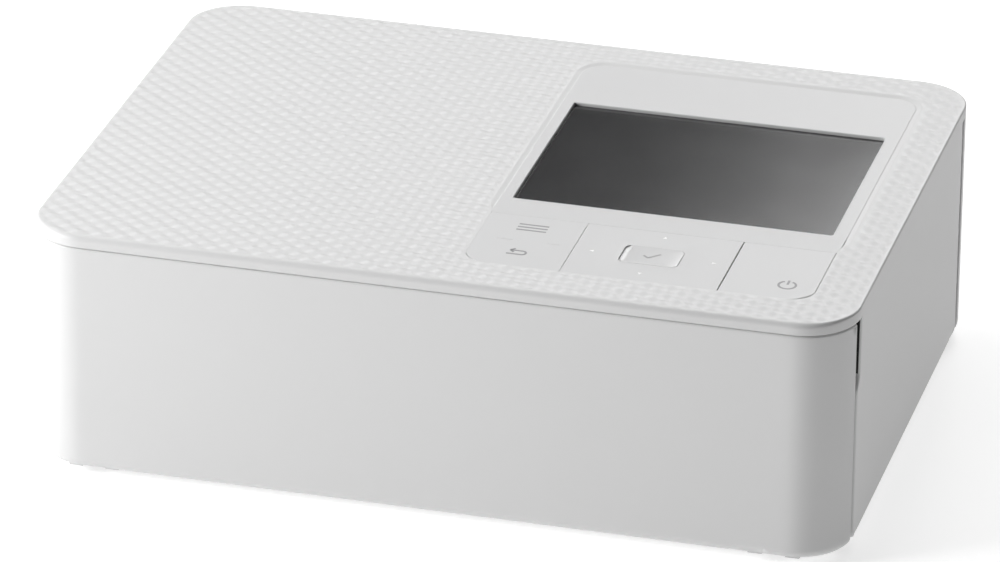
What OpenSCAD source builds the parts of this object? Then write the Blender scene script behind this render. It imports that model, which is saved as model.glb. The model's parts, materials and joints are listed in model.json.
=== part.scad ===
// Compact photo printer: a small dye-sublimation printer for postcard prints.
// The origin is on the table under the middle of the body, +Z up, the front looks along -Y.
// All sizes are in millimetres.

/* [Body] */
// Width of the body, left to right
body_w = 182.2; // [182:0.1:184]
// Depth of the body, front to back
body_d = 133.0; // [133:0.1:134]
// Height of the body without its feet
body_h = 56.0; // [56:0.1:57]
// Radius of the four upright corners, seen from above
corner_r = 12.7; // [11:0.1:13]
// Height of the rubber feet
foot_h = 1.6; // [1.2:0.1:1.8]
// Wall thickness of the mouldings
wall = 2.2; // [1.8:0.1:2.4]
// Height of the top cover's rim
lip_h = 2.9; // [2.6:0.1:3.2]
// Open seam between neighbouring covers
seam = 0.5; // [0.4:0.1:0.6]

/* [Control panel] */
// Left edge of the smooth panel
panel_x0 = 3.6; // [3.4:0.1:3.8]
// Right edge of the smooth panel
panel_x1 = 80.2; // [79.8:0.1:80.4]
// Front edge of the smooth panel
panel_y0 = -54.65; // [-54.8:0.05:-54.5]
// Back edge of the smooth panel
panel_y1 = 54.9; // [54.7:0.1:55.1]
// Corner radius of the smooth panel
panel_r = 5.0; // [4:0.5:6]
// How far the panel lies below the textured top
panel_drop = 0.5; // [0.3:0.1:0.7]
// Width of the screen window
window_w = 71.1; // [70:0.1:72]
// Height of the screen window
window_d = 53.6; // [52:0.1:54]
// Left edge of the screen window
window_x0 = 5.5; // [5.3:0.05:5.8]
// Front edge of the screen window
window_y0 = -19.8; // [-20:0.1:-19.6]
// Back edge of the key row
keys_y1 = -29.5; // [-29.8:0.1:-29.2]
// Gap between the left key and the cross key
gap1_x = 25.4; // [25:0.1:26]
// Gap between the cross key and the right key
gap2_x = 59.9; // [59.5:0.1:60.3]
// Gap around each key
key_gap = 0.35; // [0.3:0.05:0.4]

/* [Paper path] */
// Middle of the paper path, left to right
path_x = 12.0; // [11:0.5:13]
// Height at which the paper runs
paper_z = 18.5; // [18.4:0.1:18.6]
// Width of the paper bay
bay_w = 118.0; // [116:0.5:119]
// Width of the postcard paper
paper_w = 100.0; // [99:0.5:101]
// Radius of the platen roller
platen_r = 6.6; // [6.4:0.1:6.7]
// Radius of the capstan roller
capstan_r = 4.0; // [3.8:0.1:4.1]
// Radius of the ink cassette's two tubes
tube_r = 11.5; // [11.3:0.1:11.6]

/* [Gears] */
// Gear module, the pitch diameter per tooth
gear_m = 0.8; // [0.8:0.8:0.8]
// Teeth of the feed motor's pinion
pinion_teeth = 12; // [12:1:12]
// Teeth of the idler gear
idler_teeth = 32; // [32:1:32]
// Teeth of the capstan gear
capstan_teeth = 24; // [24:1:24]
// Teeth of the ribbon motor's pinion
ribbon_teeth = 14; // [14:1:14]
// Teeth of the take-up gear
takeup_teeth = 36; // [36:1:36]

/* [Hidden] */
$fn = 48;

hw = body_w / 2;
hd = body_d / 2;
z0 = foot_h;
top_z = foot_h + body_h;
lip_z = top_z - lip_h;
cover_z = lip_z - seam;
roof_t = 2.0;
roof_z = top_z - roof_t;
eps = 0.01;

// Where the covers part on the sides
wing_y = -56.3;
side_y0 = wing_y + 0.6;
side_y1 = hd - 13.5;
rear_y = side_y1 + 0.7;

// Inward strips along the bottom of the skirts
front_flange = 5.0;
side_flange = 4.6;
rib_h = 1.4;
front_ribs = [20, 36];
door_ribs = [14, 50];
wing_low_r = 2.4;
wing_high_r = 2.5;

// Base
base_x = hw - 6.9;
base_y0 = -58.8;
base_y1 = hd - 2.8;
floor_t = 2.0;
floor_z = z0 + floor_t;

// Hinges of the front cover and the side door
front_axis_y = -hd + 3.2;
front_axis_z = z0 + 3.2;
hinge_pin_r = 0.9;
hinge_bore_r = 0.95;
ear_r = 1.9;
ear_t = 4.0;
ear_gap = 0.4;
knuckle_t = 3.4;
knuckle_r = 2.1;
front_pin_half = ear_t / 2 + knuckle_t;
door_pin_over = knuckle_t - 0.2;
front_ears = [-76, 76];
door_axis_x = hw - 3.2;
door_axis_y = side_y1 - 3.0;
door_ears = [9, 46];
door_edge_r = 3.0;

// Control panel heights
face_z = top_z - panel_drop;
bezel_t = 0.9;
glass_t = 1.2;
glass_z = face_z - bezel_t - glass_t;
lcd_t = 3.2;
lcd_z = glass_z - lcd_t - 0.1;
frame_z0 = 49.6;
bezel_z0 = 54.9;
key_z = face_z + 0.3;
key_t = 1.9;
board_z = 51.2;
board_t = 1.2;
mat_t = 0.8;
mat_z = board_z + board_t;
dome_h = 1.0;
key_y0 = panel_y0;
ok_x = 42.45;
ok_y = -42.0;
ok_w = 13.9;
ok_d = 9.5;
cross_mid_x = (gap1_x + gap2_x) / 2;
right_axis_y = keys_y1 - 1.4;
key_axis_z = 55.3;
carrier_z = 54.0;

// Paper path, seen from the right: [depth, height] of each axis
platen_p = [10, paper_z - 0.1 - platen_r];
capstan_p = [52, paper_z - 0.1 - capstan_r];
pinch_r = 3.0;
pinch_p = [52, paper_z + 0.25 + pinch_r];
pickup_r = 5.5;
pickup_p = [-33, 20.5];
takeup_p = [-18, paper_z + 1.0 + tube_r];
supply_p = [34, paper_z + 1.0 + tube_r];
head_axis = [54, 41];
shaft_r = 1.5;
bush_r = 1.55;
left_x = -53.0;
right_x = 77.0;
plate_t = 1.2;
frame_top = 47;
gear_plate_x = -68.6;
ribbon_half = paper_w / 2 + 2;
head_half = paper_w / 2 + 4;
cassette_x0 = -47;
cassette_x1 = 84.2;
lever_p = [81.5, -38.5];

// Gear train, on the left of the left frame
gear_x = -62;
gear_t = 5;
idler_gap = gear_m * (idler_teeth + capstan_teeth) / 2;
pinion_gap = gear_m * (idler_teeth + pinion_teeth) / 2;
ribbon_gap = gear_m * (takeup_teeth + ribbon_teeth) / 2;
idler_dir = 150;
pinion_dir = 195;
ribbon_dir = 225.5;
idler_p = capstan_p + idler_gap * [cos(idler_dir), sin(idler_dir)];
pinion_p = idler_p + pinion_gap * [cos(pinion_dir), sin(pinion_dir)];
ribbon_p = takeup_p + ribbon_gap * [cos(ribbon_dir), sin(ribbon_dir)];
backlash = 0.16;

white = [0.93, 0.93, 0.92];
panel_white = [0.89, 0.89, 0.88];
steel = [0.70, 0.72, 0.74];
dark = [0.13, 0.13, 0.14];
rubber = [0.16, 0.16, 0.17];
board_green = [0.10, 0.35, 0.20];
natural = [0.85, 0.85, 0.80];
brass = [0.80, 0.65, 0.30];

// ---- plain shapes ----

module box(x0, x1, y0, y1, za, zb) {
    translate([x0, y0, za]) cube([x1 - x0, y1 - y0, zb - za]);
}

module rounded_rect(x0, x1, y0, y1, r) {
    translate([x0 + r, y0]) square([x1 - x0 - 2 * r, y1 - y0]);
    translate([x0, y0 + r]) square([x1 - x0, y1 - y0 - 2 * r]);
    for (x = [x0 + r, x1 - r], y = [y0 + r, y1 - r]) translate([x, y]) circle(r);
}

module rounded_box(x0, x1, y0, y1, za, zb, r) {
    translate([0, 0, za]) linear_extrude(zb - za) rounded_rect(x0, x1, y0, y1, r);
}

// The body's plan, drawn in by an inset
module body_slab(inset, za, zb) {
    rounded_box(-hw + inset, hw - inset, -hd + inset, hd - inset, za, zb, corner_r - inset);
}

// A rod along X at a place [y, z]
module rod_x(xa, xb, p, r) {
    translate([xa, p[0], p[1]]) rotate([0, 90, 0]) cylinder(h = xb - xa, r = r);
}

module rod_z(x, y, za, zb, r) {
    translate([x, y, za]) cylinder(h = zb - za, r = r);
}

// A tube along X with a bore
module tube_x(xa, xb, p, r, bore) {
    translate([xa, p[0], p[1]]) rotate([90, 0, 90]) linear_extrude(xb - xa) difference() {
        circle(r);
        circle(bore);
    }
}

// A profile drawn in [y, z] and pushed along X
module along_x(xa, xb) {
    translate([xa, 0, 0]) rotate([90, 0, 90]) linear_extrude(xb - xa) children();
}

// What rounds off a square corner at p, towards the direction [sy, sz]
module corner_waste(p, s, r) {
    translate([p[0], p[1]]) mirror([s[0] < 0 ? 1 : 0, 0]) mirror([0, s[1] < 0 ? 1 : 0])
        difference() {
            translate([-r, -r]) square(r + 1);
            translate([-r, -r]) circle(r);
        }
}

// ---- gears ----

// A tooth narrows from root to tip: half-widths in degrees at root, pitch and tip
function tooth_points(teeth, m, k) =
    let (
        step = 360 / teeth,
        pitch = teeth * m / 2,
        slack = backlash / pitch * 180 / PI / 2,
        half = step / 4 - slack,
        flank = tan(20) * m / pitch * 180 / PI,
        a = k * step
    )
    [
        for (q = [[-half - flank * 1.1, -1.2], [-half, 0], [-half + flank * 0.95, 0.9],
                  [half - flank * 0.95, 0.9], [half, 0], [half + flank * 1.1, -1.2]])
            (pitch + q[1] * m) * [cos(a + q[0]), sin(a + q[0])]
    ];

module gear_shape(teeth, m, turn) {
    rotate(turn) polygon([for (k = [0:teeth - 1]) each tooth_points(teeth, m, k)]);
}

module gear_x(xa, xb, p, teeth, turn, bore) {
    translate([xa, p[0], p[1]]) rotate([90, 0, 90]) linear_extrude(xb - xa) difference() {
        gear_shape(teeth, gear_m, turn);
        circle(bore);
    }
}

// The follower's turn that puts a gap where the other gear's tooth points
function mesh_turn(dir, turn, teeth, next_teeth) =
    dir + 180 + 180 / next_teeth - (turn - dir) * teeth / next_teeth;

capstan_turn = 0;
idler_turn = mesh_turn(idler_dir, capstan_turn, capstan_teeth, idler_teeth);
pinion_turn = mesh_turn(pinion_dir, idler_turn, idler_teeth, pinion_teeth);
takeup_turn = 0;
ribbon_turn = mesh_turn(ribbon_dir, takeup_turn, takeup_teeth, ribbon_teeth);

// ---- casing ----

post_spots = [[-78, -50], [-72, 60.6], [72, 60.6]];
post_r = 2.8;
post_top = 12.0;
screw_r = 1.25;

module top_cover() color(white) {
    difference() {
        union() {
            difference() {
                body_slab(0, lip_z, top_z);
                body_slab(wall, lip_z - 1, roof_z);
            }
            // the skirt that centres the cover inside the side walls
            difference() {
                body_slab(wall + 0.4, 52.2, roof_z + eps);
                body_slab(wall + 1.9, 52, roof_z);
                // room for the front cover's wings and the door's finger notch
                box(-hw, hw, -hd, wing_y + 4.5, 52, lip_z);
                box(hw - 8, hw, side_y0, side_y1 + 4, 52, lip_z);
            }
            for (p = post_spots) rod_z(p[0], p[1], post_top, roof_z + eps, post_r);
            // pads that carry the main board
            for (p = board_spots) rod_z(p[0], p[1], main_z + board_t, roof_z + eps, 2.6);
        }
        rounded_box(panel_x0 - 0.15, panel_x1 + 0.15, panel_y0 - 0.15, panel_y1 + 0.15,
            roof_z - 1, top_z + 1, panel_r + 0.15);
        for (p = post_spots) rod_z(p[0], p[1], post_top - 1, post_top + 5, screw_r);
        for (p = board_spots) rod_z(p[0], p[1], main_z, main_z + board_t + 2.4, 0.8);
    }
}

module base_tray() color(white) {
    difference() {
        union() {
            rounded_box(-base_x, base_x, base_y0, base_y1, z0, floor_z, 8);
            for (p = post_spots) rod_z(p[0], p[1], z0, post_top, post_r + 0.5);
            // the front cover's hinge ears
            for (x = front_ears) {
                box(x - ear_t / 2, x + ear_t / 2, front_axis_y, base_y0 + 3,
                    front_axis_z - ear_r, front_axis_z + ear_r);
                rod_x(x - ear_t / 2, x + ear_t / 2, [front_axis_y, front_axis_z], ear_r);
            }
            // the door's hinge column and its two ears
            box(80.2, 84.0, door_axis_y - 3, door_axis_y + 3, z0 + 1, 49.2);
            for (z = door_ears) {
                box(83, door_axis_x, door_axis_y - ear_r, door_axis_y + ear_r, z, z + ear_t);
                rod_z(door_axis_x, door_axis_y, z, z + ear_t, ear_r);
            }
            // the eject lever's pivot post
            rod_z(lever_p[0], lever_p[1], z0 + 1, 24, 2.6);
            rod_z(lever_p[0], lever_p[1], z0 + 1, 38, shaft_r);
        }
        for (p = post_spots) {
            rod_z(p[0], p[1], z0 - 1, post_top + 1, 1.6);
            rod_z(p[0], p[1], z0 - 1, z0 + 2.2, 3.1);
        }
        for (x = front_ears)
            rod_x(x - ear_t, x + ear_t, [front_axis_y, front_axis_z], hinge_pin_r);
        for (z = door_ears)
            rod_z(door_axis_x, door_axis_y, z - 1, z + ear_t + 1, hinge_pin_r);
        // seats of the feet
        for (p = foot_spots) rod_z(p[0], p[1], z0 - 1, z0 + 0.6, foot_r);
        // cooling slots under the motors
        for (k = [0:5]) rounded_box(-80, -60, -24 + 7 * k, -21 + 7 * k, z0 - 1, floor_z + 1, 1.4);
    }
}

foot_spots = [[-70, -46], [70, -46], [-62, 50], [62, 50]];
foot_r = 5.0;

module rubber_feet() color(rubber) {
    for (p = foot_spots) rod_z(p[0], p[1], 0, z0 + 0.6, foot_r);
}

module case_screws() color(steel) {
    for (p = post_spots) {
        rod_z(p[0], p[1], z0 + 0.3, z0 + 2.2, 2.8);
        rod_z(p[0], p[1], z0 + 2, post_top + 4.6, screw_r);
    }
}

card_y = [-40, -13];
usb_y = [2, 11];
usb_z = [47.4, 50.6];
port_z = [47.9, 50.5];

module left_panel() color(white) difference() {
    union() {
        box(-hw, -hw + wall, side_y0, side_y1, z0, cover_z);
        box(-hw, -base_x, side_y0 + 4, side_y1 - 4, z0, floor_z);
        // a lip that hooks under the main board's edge
        box(-hw + wall - eps, -hw + wall + 1.4, -8, -2, 44, 46);
    }
    rounded_port(card_y[0], card_y[1], port_z[0] - 0.4, port_z[1] + 0.1, 1.0);
    rounded_port(usb_y[0], usb_y[1], usb_z[0], usb_z[1], 1.5);
}

// An opening with round ends through the left wall
module rounded_port(ya, yb, za, zb, r) {
    along_x(-hw - 1, -hw + wall + 1) rounded_rect(ya, yb, za, zb, r);
}

slot_x = [path_x - head_half, path_x + head_half];
slot_z = [14.5, 24.5];
slot_rim = 2.0;
vent_x0 = -48;
vent_step = 10;
vent_w = 2.4;
vent_h = 7.0;
vent_z = [32, 42];
inlet_p = [-62, 36];
inlet_w = 11.0;
inlet_h = 8.0;

module rear_panel() color(white) difference() {
    union() {
        difference() {
            body_slab(0, z0, cover_z);
            body_slab(wall, z0 - 1, cover_z + 1);
            box(-hw - 1, hw + 1, -hd - 1, rear_y, z0 - 1, cover_z + 1);
        }
        // inner frame of the paper slot
        box(slot_x[0] - slot_rim, slot_x[1] + slot_rim, hd - wall - slot_rim, hd - wall + eps,
            slot_z[0] - slot_rim, slot_z[1] + slot_rim);
    }
    box(slot_x[0], slot_x[1], hd - 8, hd + 1, slot_z[0], slot_z[1]);
    // the opening for the power inlet
    box(inlet_p[0] - inlet_w / 2 - 0.3, inlet_p[0] + inlet_w / 2 + 0.3, hd - 4, hd + 1,
        inlet_p[1] - inlet_h / 2 - 0.3, inlet_p[1] + inlet_h / 2 + 0.3);
    // two rows of air slots
    for (k = [0:11], z = vent_z)
        along_y(hd - 6, hd + 1) rounded_rect(vent_x0 + vent_step * k,
            vent_x0 + vent_step * k + vent_w, z, z + vent_h, 1.1);
}

// A profile drawn in [x, z] and pushed along Y
module along_y(ya, yb) {
    translate([0, yb, 0]) rotate([90, 0, 0]) linear_extrude(yb - ya) children();
}

module front_cover() color(white) difference() {
    union() {
        difference() {
            body_slab(0, z0, cover_z);
            body_slab(wall, floor_z, cover_z + 1);
            // the floor strip that is left ends ahead of the base
            body_slab(front_flange, z0 - 1, floor_z + 1);
            box(-hw - 1, hw + 1, wing_y, hd + 1, z0 - 1, cover_z + 1);
            along_x(-hw - 1, hw + 1) {
                corner_waste([wing_y, z0], [1, -1], wing_low_r);
                corner_waste([wing_y, cover_z], [1, 1], wing_high_r);
            }
        }
        // stiffening ribs inside the cover
        for (z = front_ribs)
            box(-70, 70, -hd + wall - eps, -hd + wall + 1.2, z, z + rib_h);
        // knuckles on both sides of each ear
        for (x = front_ears, s = [-1, 1])
            knuckle_x(x + s * (ear_t / 2 + ear_gap + knuckle_t / 2));
    }
    for (x = front_ears) {
        box(x - ear_t / 2 - ear_gap, x + ear_t / 2 + ear_gap, front_axis_y - ear_r - 0.3,
            front_axis_y + 5, z0 - 1, front_axis_z + ear_r + 0.3);
        rod_x(x - front_pin_half - 0.2, x + front_pin_half + 0.2, [front_axis_y, front_axis_z],
            hinge_bore_r);
    }
}

module knuckle_x(x) {
    a = x - knuckle_t / 2;
    b = x + knuckle_t / 2;
    rod_x(a, b, [front_axis_y, front_axis_z], knuckle_r);
    box(a, b, -hd + 1, front_axis_y, z0 + 0.2, front_axis_z + knuckle_r);
}

module front_cover_pins() color(steel) {
    for (x = front_ears)
        rod_x(x - front_pin_half, x + front_pin_half, [front_axis_y, front_axis_z], hinge_pin_r);
}

notch_z = 42.0;
notch_depth = 3.6;

module side_door() color(white) difference() {
    union() {
        translate([0, 0, z0]) linear_extrude(cover_z - z0) difference() {
            translate([hw - wall, side_y0]) square([wall, side_y1 - side_y0]);
            // round rear edge, so that the door can swing
            translate([hw - door_edge_r, side_y1 - door_edge_r]) difference() {
                square(door_edge_r + 1);
                circle(door_edge_r);
            }
        }
        box(hw - side_flange, hw - wall + eps, side_y0 + 2, side_y1 - 8, z0, floor_z);
        // stiffening ribs inside the door
        for (z = door_ribs) box(hw - wall - 1.0, hw - wall + eps, -46, 34, z, z + rib_h);
        for (z = door_ears, s = [0, 1]) door_knuckle(z, s);
    }
    for (z = door_ears) {
        box(door_axis_x - 4, door_axis_x + ear_r + 0.3, door_axis_y - ear_r - 0.4,
            side_y1 + 1, z - ear_gap, z + ear_t + ear_gap);
        rod_z(door_axis_x, door_axis_y, z - knuckle_t, z + ear_t + knuckle_t, hinge_bore_r);
    }
    // the finger notch at the upper front corner
    along_x(hw - wall - 1, hw + 1) {
        translate([side_y0 - 1, notch_z]) square([notch_depth + 1, cover_z - notch_z + 1]);
        translate([side_y0, notch_z]) circle(notch_depth);
    }
}

module door_knuckle(z, s) {
    za = s == 0 ? z - ear_gap - knuckle_t : z + ear_t + ear_gap;
    rod_z(door_axis_x, door_axis_y, za, za + knuckle_t, knuckle_r);
    box(door_axis_x, hw - 1, door_axis_y - knuckle_r, door_axis_y + 1.5, za, za + knuckle_t);
}

module side_door_pins() color(steel) {
    for (z = door_ears)
        rod_z(door_axis_x, door_axis_y, z - door_pin_over, z + ear_t + door_pin_over, hinge_pin_r);
}

// ---- display and keys ----

module display_bezel() color(panel_white) difference() {
    intersection() {
        rounded_box(panel_x0 + 0.1, panel_x1 - 0.1, panel_y0, panel_y1 - 0.1,
            bezel_z0, face_z, panel_r - 0.1);
        box(panel_x0, panel_x1, keys_y1 + key_gap / 2, panel_y1, bezel_z0, face_z);
    }
    box(window_x0, window_x0 + window_w, window_y0, window_y0 + window_d, 50, face_z + 1);
    box(window_x0 - 1.3, window_x0 + window_w + 1.3, window_y0 - 2, window_y0 + window_d + 2,
        50, face_z - bezel_t);
}

module display_glass() color(dark) {
    box(window_x0 - 1.1, window_x0 + window_w + 1.1, window_y0 - 1.8,
        window_y0 + window_d + 1.8, glass_z, glass_z + glass_t);
}

cable_x = [33, 52];
lcd_box = [window_x0 - 1.2, window_x0 + window_w + 1.2, window_y0 - 4.4, window_y0 + window_d + 3.2];

module lcd_module() color(steel) {
    difference() {
        box(lcd_box[0], lcd_box[1], lcd_box[2], lcd_box[3], lcd_z, lcd_z + lcd_t);
        box(window_x0 - 0.2, window_x0 + window_w + 0.2, window_y0 - 0.2,
            window_y0 + window_d + 0.2, lcd_z + lcd_t - 0.3, lcd_z + lcd_t + 1);
    }
}

module panel_frame() color(natural) difference() {
    rounded_box(panel_x0 - 1.4, panel_x1 + 1.4, panel_y0 - 1.4, panel_y1 + 1.4, frame_z0,
        roof_z, panel_r + 1.4);
    // seat of the bezel
    rounded_box(panel_x0 - 0.3, panel_x1 + 0.3, panel_y0 - 0.3, panel_y1 + 0.3, bezel_z0,
        roof_z + 1, panel_r + 0.3);
    // pocket of the screen module
    box(lcd_box[0] - 0.2, lcd_box[1] + 0.2, lcd_box[2] - 0.2, lcd_box[3] + 0.2, lcd_z,
        roof_z + 1);
    box(window_x0 - 1.2, window_x0 + window_w + 1.2, window_y0 - 1.9, window_y0 + window_d + 1.9,
        glass_z - 0.1, roof_z + 1);
    // window under the screen for its flat cable
    box(cable_x[0] - 3, cable_x[1] + 3, 26, 34, frame_z0 - 1, lcd_z + 1);
    // pocket of the key board
    rounded_box(panel_x0 + 0.4, panel_x1 - 0.4, panel_y0 + 0.4, keys_y1 + 1.2, board_z,
        roof_z + 1, 3.5);
    // room for the keys to dip
    rounded_box(panel_x0 - 0.3, panel_x1 + 0.3, panel_y0 - 0.3, keys_y1 + 1.2, bezel_z0 - 1.2,
        roof_z + 1, panel_r + 0.3);
    // light pockets that save material in the floor
    for (x = [12, 56]) box(x, x + 14, 40, 52, frame_z0 + 1.2, bezel_z0 + 1);
}

// A key's plate, cut from the panel's outline
module key_plate(xa, xb, za, zb) {
    intersection() {
        rounded_box(panel_x0 + 0.1, panel_x1 - 0.1, panel_y0 + 0.1, panel_y1, za, zb,
            panel_r - 0.1);
        box(xa + key_gap / 2, xb - key_gap / 2, key_y0 - 1, keys_y1 - key_gap / 2, za, zb);
    }
}

// The cross key's four switches, from its middle, and the power switch
cross_spots = [[-12, 0], [12, 0], [0, 8.4], [0, -8.4]];
power_p = [73.6, -47.0];
left_mid_x = (panel_x0 + gap1_x) / 2;
left_mid_y = (panel_y0 + keys_y1) / 2;
stem_r = 1.5;
stem_z = mat_z + mat_t + dome_h + 0.45;

module left_key() color(panel_white) {
    key_plate(panel_x0, gap1_x, key_z - key_t, key_z);
    // two stems above the two switches, and the rocking rib between them
    for (s = [-1, 1])
        rod_z(left_mid_x, left_mid_y + 7.4 * s, stem_z, key_z - key_t + eps, stem_r);
    rod_x(left_mid_x - 6, left_mid_x + 6, [left_mid_y, key_z - key_t], 0.5);
}

module cross_key() color(panel_white) difference() {
    union() {
        key_plate(gap1_x, gap2_x, key_z - key_t, key_z);
        for (q = cross_spots)
            rod_z(cross_mid_x + q[0], ok_y + q[1], stem_z, key_z - key_t + eps, 1.2);
    }
    rounded_box(ok_x - ok_w / 2, ok_x + ok_w / 2, ok_y - ok_d / 2, ok_y + ok_d / 2,
        key_z - key_t - 1, face_z + 1, 2.0);
}

// The thin ring that the cross key rocks on, left and right, and that rocks up and down
module cross_key_carrier() color(natural) difference() {
    rounded_box(cross_mid_x - 15.6, cross_mid_x + 15.6, ok_y - 11.4, ok_y + 11.4,
        carrier_z, carrier_z + 0.6, 2);
    rounded_box(cross_mid_x - 14.4, cross_mid_x + 14.4, ok_y - 10.6, ok_y + 10.6,
        carrier_z - 1, carrier_z + 2, 1.5);
}

module ok_key() color(panel_white) {
    g = 0.5;
    rounded_box(ok_x - ok_w / 2 + g, ok_x + ok_w / 2 - g, ok_y - ok_d / 2 + g,
        ok_y + ok_d / 2 - g, key_z - key_t, top_z, 1.6);
    rod_z(ok_x, ok_y, stem_z, key_z - key_t + eps, stem_r);
}

module right_key() color(panel_white) {
    key_plate(gap2_x, panel_x1, key_z - key_t, key_z);
    rod_z(power_p[0], power_p[1], stem_z, key_z - key_t + eps, stem_r);
    // the bar along the back edge on which the key hinges
    rod_x(gap2_x + 2, panel_x1 - 2.4, [right_axis_y, key_axis_z], 0.6);
}

switch_spots = concat(
    [for (s = [-1, 1]) [left_mid_x, left_mid_y + 7.4 * s]],
    [for (q = cross_spots) [cross_mid_x, ok_y] + q],
    [[ok_x, ok_y], power_p]
);

module key_mat() color(rubber) {
    rounded_box(panel_x0 + 0.8, panel_x1 - 0.8, panel_y0 + 0.8, keys_y1 + 0.6, mat_z,
        mat_z + mat_t, 3);
    for (p = switch_spots) rod_z(p[0], p[1], mat_z + mat_t - eps, mat_z + mat_t + dome_h - 0.35, 2.0);
}

module panel_board() color(board_green) {
    rounded_box(panel_x0 + 0.6, panel_x1 - 0.6, panel_y0 + 0.6, keys_y1 + 1.0, board_z,
        board_z + board_t, 3.2);
}

// ---- electronics ----

main_z = 51.0;
board_x = [-84, -2];
board_y = [-46, 50];
board_spots = [[-80, -43], [-6, -43], [-80, 46], [-6, 46]];

module main_board() color(board_green) {
    difference() {
        union() {
            box(board_x[0], board_x[1], board_y[0], board_y[1], main_z, main_z + board_t);
            // processor, memory, regulator, capacitors and connectors
            box(-46, -30, -6, 10, main_z + board_t - eps, main_z + board_t + 1.4);
            box(-24, -12, -4, 6, main_z + board_t - eps, main_z + board_t + 1.1);
            box(-72, -60, 24, 34, main_z + board_t - eps, main_z + board_t + 2.0);
            for (k = [0:3]) rod_z(-66 + 9 * k, 42, main_z + board_t - eps, main_z + board_t + 2.2, 3);
            box(-20, -8, -30, -24, main_z + board_t - eps, main_z + board_t + 2.0);
        }
        for (p = board_spots) rod_z(p[0], p[1], main_z - 1, main_z + board_t + 1, 1.2);
    }
}

module board_screws() color(steel) {
    for (p = board_spots) {
        rod_z(p[0], p[1], main_z - 1.4, main_z, 2.2);
        rod_z(p[0], p[1], main_z - eps, main_z + board_t + 2.2, 0.8);
    }
}

module dc_inlet() color(dark) difference() {
    box(inlet_p[0] - inlet_w / 2, inlet_p[0] + inlet_w / 2, hd - 14, hd - 0.6,
        inlet_p[1] - inlet_h / 2, inlet_p[1] + inlet_h / 2);
    translate([inlet_p[0], hd, inlet_p[1]]) rotate([90, 0, 0]) difference() {
        cylinder(h = 10, r = 2.8);
        translate([0, 0, -1]) cylinder(h = 12, r = 0.9);
    }
}

module usb_socket() color(steel) difference() {
    along_x(-hw + 1.0, -80)
        rounded_rect(usb_y[0] + 0.15, usb_y[1] - 0.15, usb_z[0] + 0.2, usb_z[1] - 0.2, 1.35);
    along_x(-hw, -82)
        rounded_rect(usb_y[0] + 0.5, usb_y[1] - 0.5, usb_z[0] + 0.5, usb_z[1] - 0.5, 1.0);
}

module card_slot() color(steel) difference() {
    box(-hw + wall + 0.4, -60, card_y[0] + 0.4, card_y[1] - 0.4, 46.9, main_z);
    box(-hw, -62, card_y[0] + 1.5, card_y[1] - 1.5, port_z[0], port_z[1] - 0.3);
}

module display_cable() color(brass) {
    x = cable_x[0];
    z = frame_z0 - 0.8;
    film = 0.2;
    box(x, cable_x[1], 29, 33, lcd_z - 0.3, lcd_z);
    box(x, cable_x[1], 33 - film, 33, z, lcd_z - 0.3);
    box(-12, cable_x[1], 20.8, 33, z - film, z);
    box(-12, -12 + film, 20.8, 33 - film, z, main_z);
}

// ---- chassis ----

module frame_holes() {
    for (p = [platen_p, capstan_p, pinch_p, pickup_p, head_axis]) translate(p) circle(bush_r);
}

module left_frame() color(steel) along_x(left_x, left_x + plate_t) difference() {
    translate([-42, floor_z]) square([102, frame_top - floor_z]);
    frame_holes();
    translate(takeup_p) circle(3.4);
    translate(idler_p) circle(1.5);
    for (p = [[-38, 40], [10, 42]]) translate(p) circle(1.2);
}

module right_frame() color(steel) along_x(right_x, right_x + plate_t) difference() {
    translate([-42, floor_z]) square([102, frame_top - floor_z]);
    frame_holes();
    // the mouth that the ink cassette goes through
    translate(takeup_p) circle(tube_r + 0.8);
    translate(supply_p) circle(tube_r + 0.8);
    translate([takeup_p[0], 20.2]) square([supply_p[0] - takeup_p[0], 8.5]);
}

module tie_bars() color(steel) {
    for (p = [[-40, 44.5], [55.5, 30]]) rod_x(left_x + plate_t, right_x, p, 1.6);
}

module gear_plate() color(steel) {
    along_x(gear_plate_x, gear_plate_x + plate_t) difference() {
        translate([-42, floor_z]) square([90, 40 - floor_z]);
        translate(idler_p) circle(1.5);
        translate(pinion_p) circle(4.0);
        translate(ribbon_p) circle(4.0);
    }
    // spacers to the left frame
    for (p = [[-38, 34], [46, 37.5], [40, 6.5], [-10, 7]]) rod_x(gear_plate_x + plate_t, left_x, p, 2);
}

deck_t = 1.2;

module paper_deck() color(natural) {
    x0 = path_x - bay_w / 2;
    x1 = path_x + bay_w / 2;
    // the bay's floor
    box(x0, x1, -56, 56, floor_z, floor_z + deck_t);
    // the ramp that lifts the paper towards the platen
    along_x(x0, x1) polygon([[-9, floor_z], [2, floor_z], [2, 17.6], [1, 18.0], [-9, 7]]);
    // the paper guide between platen and capstan
    along_x(x0, x1) polygon([[18, floor_z], [20, floor_z], [20, 16.6], [46, 16.6], [46, 18.0],
        [18.4, 18.0], [18, 17.6]]);
}

// ---- rollers ----

module platen_shaft() color(steel) {
    rod_x(left_x - 1.5, right_x + plate_t + 1.5, platen_p, shaft_r);
}

module platen_roller() color(rubber) {
    tube_x(path_x - ribbon_half - 1, path_x + ribbon_half + 1, platen_p, platen_r, shaft_r);
}

module capstan_roller() color(steel) {
    rod_x(gear_x - 1, right_x + plate_t + 1.5, capstan_p, shaft_r);
    rod_x(path_x - paper_w / 2, path_x + paper_w / 2, capstan_p, capstan_r);
}

module pinch_roller() color(steel) {
    rod_x(left_x - 1.5, right_x + plate_t + 1.5, pinch_p, shaft_r);
    for (s = [-1, 1]) rod_x(path_x + s * 26 - 20, path_x + s * 26 + 20, pinch_p, pinch_r);
}

module pickup_shaft() color(steel) {
    rod_x(left_x - 1.5, right_x + plate_t + 1.5, pickup_p, shaft_r);
}

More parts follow.
